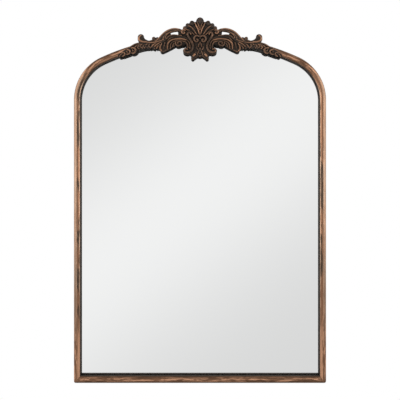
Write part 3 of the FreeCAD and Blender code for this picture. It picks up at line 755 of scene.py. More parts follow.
    def build_arch(self) -> bpy.types.Object:
        """Bent moulding with mitred feet.

        Returns:
            The new object.
        """
        outline, acrosses = self.section()
        foot = self.corner_rings(outline, rail=False)[::-1]
        left = [[(side - self.side_x, y, self.base_z + rise) for side, y, rise in ring] for ring in foot]
        right = [[(-x, y, z) for x, y, z in ring] for ring in left[::-1]]
        middle = []
        alongs = []
        rubbed = []
        for along, place, out in self.arch_line():
            if place[1] < self.base_z + self.corner_reach:
                continue
            middle.append([(place[0] - inset * out[0], y, place[1] - inset * out[1]) for inset, y in outline])
            alongs.append(along)
            # how upright the bar runs, rising to 2 low down; it places the painted highlights, shade and dark
            # reflection, and the feet's painted copper reflection
            height = np.interp(place[1] - self.base_z, self.plain_foot, (0.0, 1.0))
            rubbed.append(out[0] ** 2 * (2 - height))
        starts = [alongs[0] - self.corner_reach] * self.corner_steps
        ends = [alongs[-1] + self.corner_reach] * self.corner_steps
        rings = np.array(left + middle + right)
        piece = self.sweep("frame_arch_moulding", rings, starts + alongs + ends, acrosses)
        feet = [2.0] * self.corner_steps
        put_numbers(piece, UPRIGHT_ATTRIBUTE, np.repeat(feet + rubbed + feet, len(outline)))
        return piece

    def build_rail(self) -> bpy.types.Object:
        """Straight bottom rail with mitred ends.

        Returns:
            The new object.
        """
        outline, acrosses = self.section()
        foot = self.corner_rings(outline, rail=True)
        right = [[(self.side_x - side, y, self.base_z + rise) for side, y, rise in ring]
                 for ring in foot[::-1]]
        left = [[(-x, y, z) for x, y, z in ring] for ring in right[::-1]]
        reach = self.side_x - self.corner_reach
        places = np.linspace(reach, -reach, math.ceil(2 * reach / self.straight_step) + 1)
        middle = [[(x, y, self.base_z + self.rail_rise(inset)) for inset, y in outline] for x in places]
        alongs = [self.side_x] * self.corner_steps + list(places) + [-self.side_x] * self.corner_steps
        return self.sweep("bottom_rail_moulding", np.array(right + middle + left),
                          [self.rail_start + along for along in alongs], acrosses)

    def build(self, wardrobe: Wardrobe) -> list[bpy.types.Object]:
        """Make and dress both mouldings.

        Args:
            wardrobe: the materials.

        Returns:
            The new pieces.
        """
        made = []
        for piece, node in ((self.build_arch(), "frame_arch"), (self.build_rail(), "bottom_rail")):
            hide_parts(node)
            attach(piece, "root")
            wardrobe.dress(piece, Slot.RUBBED_BRONZE)
            made.append(piece)
        return made


@dataclass
class Pane:
    """The silvering on the back of the pane, all that shows of the clear glass in front of it."""

    silver_thickness: float = 0.0003

    def build(self, wardrobe: Wardrobe) -> list[bpy.types.Object]:
        """Make the silvered sheet from the CAD pane's own outline.

        Args:
            wardrobe: the materials.

        Returns:
            The new piece.
        """
        low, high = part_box("mirror_glass")
        mesh = frame["nodes"]["mirror_glass"].data.copy()
        places = np.zeros(len(mesh.vertices) * 3, np.float32)
        mesh.vertices.foreach_get("co", places)
        rows = places.reshape(-1, 3)
        rows[rows[:, 1] < (low.y + high.y) / 2, 1] = high.y - self.silver_thickness
        mesh.vertices.foreach_set("co", rows.ravel())
        mesh.update()
        piece = bpy.data.objects.new("mirror_pane", mesh)
        bpy.context.scene.collection.objects.link(piece)
        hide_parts("mirror_glass")
        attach(piece, "root")
        wardrobe.dress(piece, Slot.MIRROR_PANE)
        return [piece]


@dataclass(frozen=True)
class Stroke:
    """One carved member: a ridge with a domed section along a smooth path, in millimetres."""

    path: tuple[Point, ...]
    half: tuple[float, ...]         # half width, evenly along the path
    top: tuple[float, ...]          # crest of the ridge in front of the moulding's front line
    dome: float = 0.9               # rise of the domed part, of the half width
    square: float = 2.0             # 2 is a round section, more is flatter
    polish: float = 0.0             # extra rubbing along its crest

    def samples(self, step: float) -> np.ndarray:
        """Closely spaced points of the ridge.

        Args:
            step: distance between neighbours.

        Returns:
            Rows of (first, second, half width, top).
        """
        points = np.array(self.path, float)
        padded = np.vstack([2 * points[0] - points[1], points, 2 * points[-1] - points[-2]])
        rows = []
        for i in range(1, len(padded) - 2):
            p0, p1, p2, p3 = padded[i - 1:i + 3]
            count = max(2, math.ceil(np.linalg.norm(p2 - p1) / step))
            t = np.linspace(0.0, 1.0, count, endpoint=False)[:, None]
            rows.append(0.5 * (2 * p1 + (p2 - p0) * t + (2 * p0 - 5 * p1 + 4 * p2 - p3) * t ** 2
                               + (3 * p1 - p0 - 3 * p2 + p3) * t ** 3))
        line = np.vstack(rows + [points[-1:]])
        length = np.concatenate([[0.0], np.cumsum(np.linalg.norm(np.diff(line, axis=0), axis=1))])
        share = length / length[-1]
        half = np.interp(share, np.linspace(0, 1, len(self.half)), self.half)
        top = np.interp(share, np.linspace(0, 1, len(self.top)), self.top)
        return np.column_stack([line, half, top])

    def mirrored(self) -> "Stroke":
        """The same member on the other side of the middle."""
        return replace(self, path=tuple((-a, b) for a, b in self.path))


class Relief:
    """Field of a casting on a regular grid: below zero inside it, in millimetres."""

    FAR = 4.0
    BLUR = 3
    WALL_SHADE = (-1.0, 3.0)      # heights between which the painted shade of the low walls ends and rubbing begins
    DRAFT = 0.18            # how far the walls lean in towards the back, of their depth
    SHAVED = 0.03           # field of a grid point that is taken away
    SHAVES = 12             # most rounds of taking away
    DEPTH = 2.5             # field beyond which a spot counts as deep inside or far outside
    POLISHED = 1.25         # reach of a member's polish, in half widths

    def __init__(self, low: Sequence[float], high: Sequence[float], pitch: float,
                 plan: Callable[[np.ndarray, np.ndarray], tuple[np.ndarray, np.ndarray]]) -> None:
        """Lay out an empty grid.

        Args:
            low: least x, z and height in front of the moulding.
            high: greatest x, z and height.
            pitch: grid spacing.
            plan: gives the drawing's two coordinates from x and z.
        """
        self.low = np.array(low, float)
        self.pitch = pitch
        axes = [np.arange(a, b + pitch, pitch) for a, b in zip(low, high)]
        self.first, self.second = plan(*np.meshgrid(axes[0], axes[1], indexing="ij"))
        self.height = axes[2]
        self.field = np.full((len(axes[0]), len(axes[1]), len(axes[2])), self.FAR, np.float32)
        self.polish = np.zeros(self.first.shape)

    def nearest(self, rows: np.ndarray, margin: float) -> tuple | None:
        """Find the part of the plan near a ridge.

        Args:
            rows: the ridge's samples.
            margin: how far beyond the ridge to look.

        Returns:
            The part's slices, and for each spot its distance in half widths, the half width and the top,
            or None where the ridge is outside the grid.
        """
        reach = rows[:, 2].max() + margin
        low, high = rows[:, :2].min(axis=0) - reach, rows[:, :2].max(axis=0) + reach
        inside = (self.first > low[0]) & (self.first < high[0])
        inside &= (self.second > low[1]) & (self.second < high[1])
        if not inside.any():
            return None
        spans = [np.flatnonzero(inside.any(axis=axis)) for axis in (1, 0)]
        part = tuple(slice(span[0], span[-1] + 1) for span in spans)
        first, second = self.first[part], self.second[part]
        best = np.full(first.shape, np.inf)
        half = np.ones(first.shape)
        top = np.zeros(first.shape)
        for a, b, width, crest in rows:
            ratio = ((first - a) ** 2 + (second - b) ** 2) / width ** 2
            closer = ratio < best
            best = np.where(closer, ratio, best)
            half = np.where(closer, width, half)
            top = np.where(closer, crest, top)
        return part, np.sqrt(best), half, top

    def lay(self, stroke: Stroke, blend: float) -> None:
        """Add a member, with a fillet where it meets the rest.

        Args:
            stroke: the member.
            blend: size of the fillet.
        """
        found = self.nearest(stroke.samples(self.pitch), 2 * blend + 2 * self.pitch)
        if found is None:
            return
        part, ratio, half, top = found
        rise = half * stroke.dome
        over = self.height[None, None, :] - (top - rise)[..., None]
        above = np.maximum(over, 0.0) / rise[..., None]
        wide = ratio[..., None] + self.DRAFT * np.maximum(-over, 0.0) / half[..., None]
        power = stroke.square
        reach = (wide ** power + above ** power) ** (1 / power)
        fresh = (reach - 1) * np.minimum(half, rise)[..., None]
        old = self.field[part]
        polish = stroke.polish * np.clip(self.POLISHED - ratio, 0.0, 1.0)
        self.polish[part] = np.maximum(self.polish[part], polish)
        share = np.clip(0.5 + 0.5 * (old - fresh) / blend, 0.0, 1.0)
        self.field[part] = old * (1 - share) + fresh * share - blend * share * (1 - share)

    def cut_below(self, floor: np.ndarray) -> None:
        """Take away everything lower than a height given for each spot of the plan."""
        below = floor[..., None] - self.height[None, None, :]
        self.field = np.maximum(self.field, below.astype(np.float32))

    def clear(self, other: "Relief", gap: float) -> None:
        """Keep clear of another casting on the same grid."""
        self.field = np.maximum(self.field, gap - other.field)

    def proudness(self) -> np.ndarray:
        """How proud each grid point's surroundings leave it, about 0.5 on a flat face.

        Returns:
            The proudness of every grid point.
        """
        blurred = np.clip(self.field, -self.DEPTH, self.DEPTH).astype(np.float64)
        for axis in range(3):
            pad = [(0, 0)] * 3
            pad[axis] = (self.BLUR + 1, self.BLUR)
            sums = np.cumsum(np.pad(blurred, pad, mode="edge"), axis=axis)
            width = 2 * self.BLUR + 1
            count = blurred.shape[axis]
            upper = np.take(sums, range(width, width + count), axis=axis)
            lower = np.take(sums, range(count), axis=axis)
            blurred = (upper - lower) / width
        return 0.5 + blurred / (self.BLUR * self.pitch)

    def shave(self) -> None:
        """Take away grid points that touch the rest of the casting only across a diagonal."""
        for _ in range(self.SHAVES):
            solid = np.pad(self.field < 0, 1)
            joined = np.zeros(self.field.shape, bool)
            for axis in range(3):
                for step in (-1, 1):
                    joined |= np.roll(solid, step, axis)[1:-1, 1:-1, 1:-1]
            alone = (self.field < 0) & ~joined
            self.field[alone] = self.SHAVED
            found = int(alone.sum())
            for pair in ((0, 1), (0, 2), (1, 2)):
                face = np.moveaxis(self.field, pair, (0, 1))
                near, right, up, far = face[:-1, :-1], face[1:, :-1], face[:-1, 1:], face[1:, 1:]
                for one, two, gap, other in ((near, far, right, up), (right, up, near, far)):
                    lone = (one < 0) & (two < 0) & (gap >= 0) & (other >= 0)
                    one[lone] = self.SHAVED
                    found += int(lone.sum())
            if not found:
                return

    @staticmethod
    def largest(quads: np.ndarray, count: int) -> np.ndarray:
        """Find the places of the largest connected skin.

        Args:
            quads: places of each quad.
            count: number of places.

        Returns:
            True for each place on that skin.
        """
        label = np.arange(count)
        while True:
            fresh = label.copy()
            np.minimum.at(fresh, quads.ravel(), np.repeat(label[quads].min(axis=1), 4))
            fresh = fresh[fresh]
            if (fresh == label).all():
                return label == np.bincount(label).argmax()
            label = fresh

    def surface(self) -> tuple[np.ndarray, np.ndarray, np.ndarray]:
        """Skin the field with a net of quads.

        Returns:
            Places as (x, z, height), quads, and each place's proudness, faded out on the low walls as painted
            shade.
        """
        self.shave()
        value = np.pad(self.field, 1, constant_values=self.FAR)
        shape = np.array(value.shape) - 1
        inside = value < 0

        def corner(array: np.ndarray, shift: tuple[int, int, int]) -> np.ndarray:
            """One corner of every cell."""
            return array[tuple(slice(s, s + n) for s, n in zip(shift, shape))]

        shifts = [(i, j, k) for i in (0, 1) for j in (0, 1) for k in (0, 1)]
        count = sum(corner(inside, shift).astype(int) for shift in shifts)
        cells = np.argwhere((count > 0) & (count < 8))
        number = np.full(shape, -1)
        number[tuple(cells.T)] = np.arange(len(cells))
        total = np.zeros((len(cells), 3))
        crossings = np.zeros(len(cells))
        for shift in shifts:
            for axis in range(3):
                if shift[axis]:
                    continue
                start = cells + np.array(shift)
                end = start.copy()
                end[:, axis] += 1
                a, b = value[tuple(start.T)], value[tuple(end.T)]
                crossed = (a < 0) != (b < 0)
                rest = np.where(crossed, a / np.where(a == b, 1.0, a - b), 0.0)
                spot = start.astype(float)
                spot[:, axis] += rest
                total[crossed] += spot[crossed]
                crossings += crossed
        spots = total / crossings[:, None]
        quads = []
        for axis in range(3):
            others = [o for o in range(3) if o != axis]
            near = inside.take(range(value.shape[axis] - 1), axis)
            far = inside.take(range(1, value.shape[axis]), axis)
            edges = np.argwhere(near != far)
            edges = edges[(edges[:, others] > 0).all(axis=1)]
            ring = []
            for back in ((1, 1), (0, 1), (0, 0), (1, 0)):
                cell = edges.copy()
                cell[:, others] -= np.array(back)
                ring.append(number[tuple(cell.T)])
            quad = np.column_stack(ring)
            flip = near[tuple(edges.T)] ^ (axis == 1)
            quad[~flip] = quad[~flip][:, ::-1]
            quads.append(quad)
        proud = np.pad(self.proudness() + self.polish[..., None], 1, mode="edge")
        nearest = np.clip(np.rint(spots).astype(int), 0, np.array(value.shape) - 1)
        places = (spots - 1) * self.pitch + self.low
        # painted shade: the rub fades out on the low walls near the back
        clear_of_wall_shade = np.clip((places[:, 2] - self.WALL_SHADE[0]) / (self.WALL_SHADE[1] - self.WALL_SHADE[0]), 0.0, 1.0)
        rubbed = proud[tuple(nearest.T)] * clear_of_wall_shade
        net = np.vstack(quads)
        kept = self.largest(net, len(places))
        renumber = np.cumsum(kept) - 1
        return places[kept], renumber[net[kept[net[:, 0]]]], rubbed[kept]


# Members of the shell's right half, across and up from the top of the crown.
# Those on the middle line stand alone.
SHELL_GROUND = (
    Stroke(((0, -4), (0, 16), (0, 31.6)), (4, 7, 10), (4.5, 5, 5), 0.5),
    Stroke(((2, -3), (9.5, 14), (18.6, 27.4)), (4, 6.5, 7), (4.2, 4.6, 4.4), 0.5),
    Stroke(((4, -3), (15, 11), (28.2, 21.8)), (4, 6.5, 7), (4, 4, 3.8), 0.5),
    Stroke(((6, -4), (20, 7), (35.4, 15.4)), (4, 6.5, 6), (3.6, 3.2, 3), 0.5),
    Stroke(((8, 25.4), (13, 25)), (7, 6.6), (3.6, 3.6), 0.5),
    Stroke(((22, 20.5), (25, 20.5)), (7.6, 7.2), (3.4, 3.2), 0.5),
    Stroke(((28, 15), (33, 14)), (7.2, 6.6), (3, 2.8), 0.5),
    Stroke(((20, 4), (31, 8)), (9, 6), (2.4, 2.2), 0.4, 3),
    Stroke(((0, 6), (0, -8), (0, -22), (0, -35), (0, -43.4)), (25, 24, 19, 19, 9), (3, 3, 3, 3, 2.6), 0.2, 4),
    Stroke(((24, -12), (25.5, -22), (26.5, -31)), (7.5, 8, 8), (3, 3, 2.8), 0.4, 3),
    Stroke(((28, -36), (31.4, -36.6)), (8.4, 7.8), (2.4, 2.2), 0.4, 3),
    Stroke(((21, -36), (25.5, -40.2), (31, -41.8), (36.4, -39.8), (38, -35.6)), (3.6, 4.2, 4.4, 4.2, 3.2),
           (5.4, 5.6, 5.6, 5.4, 5)),
    Stroke(((0, -43), (10, -44), (20, -41)), (7.5, 7.5, 6), (3, 3, 3), 0.5),
    Stroke(((8, -40), (13.4, -47.4), (17.4, -54.4)), (6.4, 6.6, 4.4), (4.6, 5.2, 4.4), 0.6),
)
SHELL_CARVING = (
    # middle lobe with its boss and the lines that meet below it
    Stroke(((0, 31.8), (0, 33.4)), (9.4, 9.0), (8.2, 7.8), 0.45),
    Stroke(((0, 31.4), (0, 35.6)), (3.6, 4.2), (9.8, 9.4), 0.6, polish=0.06),
    Stroke(((6.8, 31), (2.9, 21.5), (0.9, 11)), (1.2, 1.1, 0.8), (8.6, 8.8, 8.4)),
    # ribs between the lobes, and the lobes' heads
    Stroke(((12.2, 28.4), (8.4, 20.7), (4.6, 12.6), (1.6, 2.2)), (1.5, 1.8, 1.5, 1.1),
           (8.2, 9.8, 9.6, 8.8), polish=0.12),
    Stroke(((18.6, 28.2), (19.4, 29.0)), (5.8, 5.6), (7.2, 6.8), 0.55),
    Stroke(((27.5, 21.6), (22.6, 19.4), (17.6, 15), (13, 9), (8.6, 1.6)), (1.3, 1.7, 1.8, 1.6, 1.1),
           (6.8, 8.0, 8.6, 8.6, 8.0), polish=0.04),
    Stroke(((28.6, 22.6), (29.6, 23.4)), (5.4, 5.2), (6.2, 5.8), 0.55),
    Stroke(((35.4, 14.4), (28, 11.6), (21, 7), (14, 0.6)), (1.2, 1.5, 1.5, 1.0), (5.6, 6.6, 7.0, 7.0)),
    Stroke(((36.0, 16.4), (36.8, 17.0)), (4.8, 4.6), (5.4, 5.0), 0.55, polish=0.10),
    Stroke(((0, -1), (0, -3)), (2.2, 2.2), (9.0, 8.8)),
    # pair of curls under the shell
    Stroke(((2.0, -4.8), (6.0, -3.0), (10.8, -3.9), (13.9, -8.2), (13.2, -13.6), (9.2, -16.6), (5.4, -15.2),
            (5.0, -12.2), (7.2, -11.2)),
           (1.4, 1.9, 2.2, 2.3, 2.3, 2.1, 1.9, 1.8, 1.7),
           (9.4, 10.8, 11.6, 11.8, 11.6, 11.0, 10.4, 10.2, 10.2), polish=0.10),
    Stroke(((0, -5), (0, -8.4)), (2.4, 1.9), (8.4, 7.4)),
    # side scroll, from its upper curl down to the volute
    Stroke(((22.3, 1.4), (23.6, 4.4), (26.8, 5.6), (29.8, 2.0), (28.0, -4.4), (23.8, -11.0), (19.8, -17.6),
            (17.4, -24.3), (18.0, -31.0), (20.6, -35.8), (25.0, -39.2), (31.0, -40.6), (36.2, -38.8),
            (37.8, -34.8), (35.0, -31.6), (31.4, -32.4)),
           (1.8, 2.2, 2.5, 2.7, 2.8, 2.8, 2.8, 2.8, 2.8, 2.8, 2.8, 2.7, 2.6, 2.3, 1.9, 1.6),
           (8.4, 9.0, 9.4, 9.6, 9.8, 10, 10, 10, 9.8, 9.6, 9.2, 9.0, 8.8, 8.4, 7.8, 7.2), polish=0.10),
    # flutes outside it, that flow into the spray
    Stroke(((24.4, -30.6), (24.2, -24), (26.8, -16.8), (33, -11.2)), (1.2, 1.6, 1.6, 1.4),
           (6.4, 7.4, 7.8, 8.0)),
    Stroke(((29.2, -29.4), (29.6, -24.4), (32.6, -19), (38, -15)), (1.2, 1.5, 1.5, 1.2),
           (5.8, 6.8, 7.2, 7.2)),
    # lance and crossed ribs of the cartouche
    Stroke(((0, -18.8), (2.6, -22.4), (4.2, -27.0)), (1.4, 1.6, 1.3), (8.6, 8.4, 7.8)),
    Stroke(((8.0, -28.0), (6.4, -32.4), (2.2, -36.4)), (1.5, 1.7, 1.3), (7.4, 7.6, 7.2)),
    Stroke(((0, -30.6), (3.0, -37.0), (5.6, -43.0), (7.6, -48.6)), (1.3, 1.5, 1.5, 1.2),
           (8.0, 8.0, 7.4, 6.4)),
    Stroke(((0, -49.6), (2.6, -46.6)), (1.4, 1.1), (5.8, 5.4)),
    Stroke(((0, -37.4), (0, -43.6)), (1.3, 1.9), (6.2, 5.6)),
    # forked tail
    Stroke(((10.2, -41.4), (14.6, -48.0), (17.8, -54.8)), (2.4, 3.6, 3.4), (6.4, 7.0, 6.0)),
    Stroke(((13.0, -45.6), (15.4, -48.8)), (2.7, 2.5), (8.8, 8.4), polish=0.45),
    Stroke(((4.6, -47.8), (10.0, -51.2), (15.4, -54.8)), (1.8, 2.2, 2.2), (5.6, 5.6, 5.2)),
)

# Members of the right spray, along the crown's outside line and out from it.
SPRAY_GROUND = (
    Stroke(((24, -14), (45, -9), (62, -7.5), (78, -10), (92, -14), (102, -16)), (10, 10, 10, 11, 10, 8),
           (3, 3.2, 3.4, 3.4, 3.2, 3), 0.4, 3),
    Stroke(((70, -14.4), (86, -21.6), (96.4, -27.4)), (10.4, 9.6, 6.0), (4, 4.4, 4.4), 0.6),
    Stroke(((92, -8), (112, -10), (135, -8.6), (155, -8.6), (172, -10.6), (190, -12.6), (203, -15)),
           (9, 10.6, 8.6, 8, 8, 7, 4.2), (3.4, 3.4, 3.2, 3, 2.8, 2.4, 1.6), 0.4, 3),
    Stroke(((42, -15), (55, -17)), (9, 7), (3, 3), 0.5),
    Stroke(((74.6, 6.6), (82, 1.6)), (5.2, 6), (4.2, 4.2), 0.5),
    Stroke(((46.8, 8), (46, 0)), (5.7, 6), (3, 3), 0.5),
    Stroke(((32, 2), (40, 2)), (7, 7), (2.6, 2.6), 0.5),
    Stroke(((163, -15.2), (170, -15.8)), (5.4, 5.6), (3.2, 3.2), 0.6),
    Stroke(((178, -14.6), (194, -15.8)), (5.4, 4.6), (2.6, 2.2), 0.6),
)
SPRAY_CARVING = (
    # loop over the eyelet, with its rim and the ribs inside its turn
    Stroke(((39.6, 7.4), (43.4, 10.8), (50, 13.8), (60, 14.6), (71, 13.2), (81, 9.0), (89.5, 3.6), (98, -2.0),
            (108, -8.0), (118, -12.0)),
           (3.2, 4.0, 4.4, 4.7, 5.0, 5.2, 4.6, 4.0, 3.6, 2.4),
           (6.2, 6.6, 7.2, 7.4, 7.4, 7.2, 6.8, 6.4, 5.8, 4.8), polish=0.16),
    Stroke(((50, 16.2), (60, 17.8), (72, 16.4), (82.5, 12.4), (91, 6.8), (99, 0.8), (108, -4.8)),
           (1.3, 1.8, 1.8, 1.8, 1.7, 1.5, 1.1), (7.8, 8.6, 8.8, 8.6, 8.2, 7.6, 6.8), polish=0.36),
    Stroke(((68.8, 11.0), (75.2, 9.0), (81.0, 4.8), (84.6, -1.4)), (1.2, 1.7, 1.7, 1.2), (6.8, 7.6, 7.6, 6.8),
           polish=0.25),
    Stroke(((80.0, 8.6), (86.4, 2.6), (90.6, -4.2)), (1.1, 1.5, 1.1), (7.8, 8.0, 7.2), polish=0.15),
    # ring curl beside the shell
    Stroke(((35.6, 12.2), (39.4, 13.4), (42.8, 10.8), (43.0, 7.2), (39.8, 4.6), (36.4, 6.2), (38.2, 8.8)),
           (1.6, 1.9, 2.0, 2.0, 1.9, 1.6, 1.3), (7.0, 7.6, 8.0, 8.0, 7.6, 7.0, 6.8), polish=0.20),
    # leaf under the eyelet
    Stroke(((29, -8), (40, -5.2), (54, -2.2), (66, 0.2), (76, 0.2), (86, -4.2), (97, -10)),
           (4, 4.6, 4.8, 4.8, 5, 4.8, 3.4), (5.2, 5.8, 6.2, 6.4, 6.4, 6.0, 5.2), 0.7),
    Stroke(((45, -0.4), (56, 1.8), (66, 3.2), (75, 1.4), (82, -3.4)), (1.1, 1.5, 1.6, 1.5, 1.1),
           (7.0, 7.8, 8.0, 7.8, 7.0), polish=0.06),
    Stroke(((42, -5.2), (53, -3.6), (64, -2.2), (73, -4.4), (79, -9.6)),
           (1.0, 1.4, 1.5, 1.4, 1.1), (6.6, 7.2, 7.4, 7.2, 6.6)),
    # rib over the hanging lobe, and the arcs inside it
    Stroke(((30.5, -13.2), (36, -10.6), (45.5, -8.2), (58, -7.4), (68.6, -8.6), (76.3, -12.6), (80.7, -18.4),
            (82.6, -26)),
           (1.5, 1.8, 1.9, 2.0, 2.1, 2.2, 2.1, 1.5), (8.0, 8.4, 8.8, 9.0, 9.4, 9.6, 9.4, 8.2), polish=0.32),
    Stroke(((37, -15.4), (43, -13.2), (51, -11.6), (62, -11.8), (69.4, -14.4), (73.6, -19.4), (75.4, -26.0)),
           (1.2, 1.4, 1.5, 1.5, 1.6, 1.6, 1.2), (7.0, 7.2, 7.4, 7.6, 7.8, 7.6, 6.8)),
    Stroke(((63.4, -16.0), (67.0, -19.0), (68.8, -23.2)), (1.2, 1.5, 1.1), (6.4, 6.8, 6.2)),
    # small volute
    Stroke(((60.2, -14.6), (60.8, -18.6), (57.0, -22.0), (51.0, -22.4), (46.8, -20.0), (46.8, -16.2),
            (50.4, -14.2), (54.6, -15.2), (55.2, -18.2)),
           (1.3, 1.8, 2.0, 2.0, 1.9, 1.8, 1.7, 1.6, 1.5), (6.8, 7.4, 7.8, 8.0, 8.0, 7.8, 7.6, 7.6, 7.4)),
    # hanging lobe: a faint rib, its rims and its tip
    Stroke(((86.4, -12.4), (89.2, -18.2), (92.0, -23.6)), (1.4, 1.7, 1.3), (6.2, 6.0, 5.4)),
    Stroke(((63, -20.4), (75.4, -25.2), (86.6, -28.6), (94.4, -30.8)), (1.6, 1.9, 2.2, 2.2),
           (4.2, 4.6, 5.0, 5.2)),
    Stroke(((95.0, -13.4), (99.0, -18.6), (100.8, -23.8), (99.4, -28.2)), (1.3, 1.9, 2.4, 2.4),
           (6.4, 7.4, 7.8, 6.8), polish=0.20),
    # two small leaf bumps
    Stroke(((108.6, -3.0), (111.6, 2.6)), (6.0, 4.4), (5.6, 6.0), 0.8, polish=0.12),
    Stroke(((100.6, -2.6), (103.4, 1.2)), (5.0, 3.2), (6.2, 6.2), 0.8, polish=0.08),
    # diagonal ribs and the line along the stem's top
    Stroke(((88.6, -4.6), (99, -6.6), (110, -7.2), (123.5, -5.6), (136.5, -1.8)), (1.2, 1.7, 1.8, 1.7, 1.3),
           (6.8, 7.2, 7.2, 7.0, 6.8), polish=0.22),
    Stroke(((95.6, -9.4), (104.4, -12.4), (113.0, -16.8)), (1.5, 2.1, 1.5), (6.6, 7.2, 6.2), polish=0.26),
    Stroke(((99.6, -14.6), (104.6, -17.2), (109.0, -20.8)), (1.4, 1.9, 1.6), (6.4, 6.8, 6.0), polish=0.10),
    Stroke(((108.0, -9.8), (115.6, -12.2), (121.0, -16.2)), (1.2, 1.8, 1.3), (6.2, 6.8, 6.0), polish=0.22),
    # uneven leaflets along the stem
    Stroke(((118.4, -15.4), (114.6, -20.0)), (3.0, 2.4), (5.6, 4.8)),
    Stroke(((125.4, -9.0), (127.4, -13.0), (124.2, -17.2)), (2.2, 2.8, 2.0), (6.2, 6.0, 5.0), polish=0.14),
    Stroke(((134.6, -11.6), (130.4, -15.4)), (3.0, 2.2), (5.8, 5.0)),
    Stroke(((137.0, -6.8), (140.2, -10.4), (138.4, -14.4)), (1.8, 2.4, 1.8), (6.0, 5.8, 4.8), polish=0.10),
    Stroke(((147.6, -9.6), (143.4, -13.4)), (2.8, 2.2), (5.6, 4.8), polish=0.12),
    Stroke(((150.8, -6.6), (154.4, -9.6), (152.6, -13.0)), (1.6, 2.2, 1.6), (5.8, 5.8, 4.8), polish=0.12),
    Stroke(((157.0, -5.6), (160.0, -7.0)), (1.6, 1.4), (5.8, 5.4), polish=0.16),
    Stroke(((130.0, -7.6), (133.4, -8.4)), (1.7, 1.5), (6.6, 6.2), polish=0.20),
    Stroke(((143.0, -5.8), (147.4, -6.2)), (1.6, 1.4), (6.2, 5.8), polish=0.20),
    # upturned hook and the bright fold inside its edge
    Stroke(((118, -6.0), (128, -4.0), (136.8, 0.4), (141.4, 6.4), (140.8, 12.4)), (4.2, 5.2, 6.8, 8.4, 7.6),
           (5.0, 5.6, 6.2, 6.8, 7.0), 0.7),
    Stroke(((129, -1.8), (136.4, -1.0), (143.2, 2.8), (146.0, 8.0), (144.2, 13.2), (139.8, 15.6)),
           (1.4, 2.1, 2.5, 2.6, 2.2, 1.6), (6.8, 8.0, 8.8, 9.2, 8.8, 8.0), polish=0.45),
    # bands of the stem
    Stroke(((113, -1.0), (125, -2.4), (136, -2.0), (149.5, -0.6), (160, -0.8), (172, -3.4)),
           (1.7, 2.1, 2.1, 2.1, 2.0, 1.4), (5.2, 5.6, 5.8, 5.6, 5.2, 4.6), polish=0.10),
    Stroke(((140, -4.2), (150, -4.0), (160, -5.6)), (1.2, 1.6, 1.2), (6.2, 6.0, 5.4)),
    # leaves towards the tip, each curled open outwards
    Stroke(((168.6, -7.0), (162.8, -9.0), (160.8, -13.6), (163.6, -18.0), (169.0, -19.6), (173.0, -17.6)),
           (1.5, 2.2, 2.7, 2.4, 1.9, 1.4), (6.2, 7.0, 7.4, 6.6, 5.4, 4.8), polish=0.20),
    Stroke(((168.6, -11.6), (167.0, -14.0), (169.0, -16.2)), (1.2, 1.5, 1.2), (5.0, 5.4, 4.8)),
    Stroke(((181.0, -8.0), (176.4, -9.8), (175.0, -13.4), (177.0, -16.6), (182.0, -18.0), (186.0, -17.0)),
           (1.3, 1.8, 2.1, 1.9, 1.6, 1.2), (5.4, 6.2, 6.4, 5.8, 4.8, 4.2), polish=0.16),
    Stroke(((183.6, -11.0), (181.8, -13.0), (183.4, -14.8)), (1.0, 1.3, 1.0), (4.4, 4.8, 4.2)),
    Stroke(((194.6, -10.6), (190.4, -12.0), (189.2, -15.0), (191.8, -17.6), (197.0, -18.6)),
           (1.2, 1.6, 1.7, 1.5, 1.1), (4.6, 5.0, 5.2, 4.6, 3.8), polish=0.12),
    Stroke(((192, -11.6), (199, -13.4), (204.6, -17.0)), (1.6, 1.8, 1.2), (3.8, 3.8, 3.2)),
)


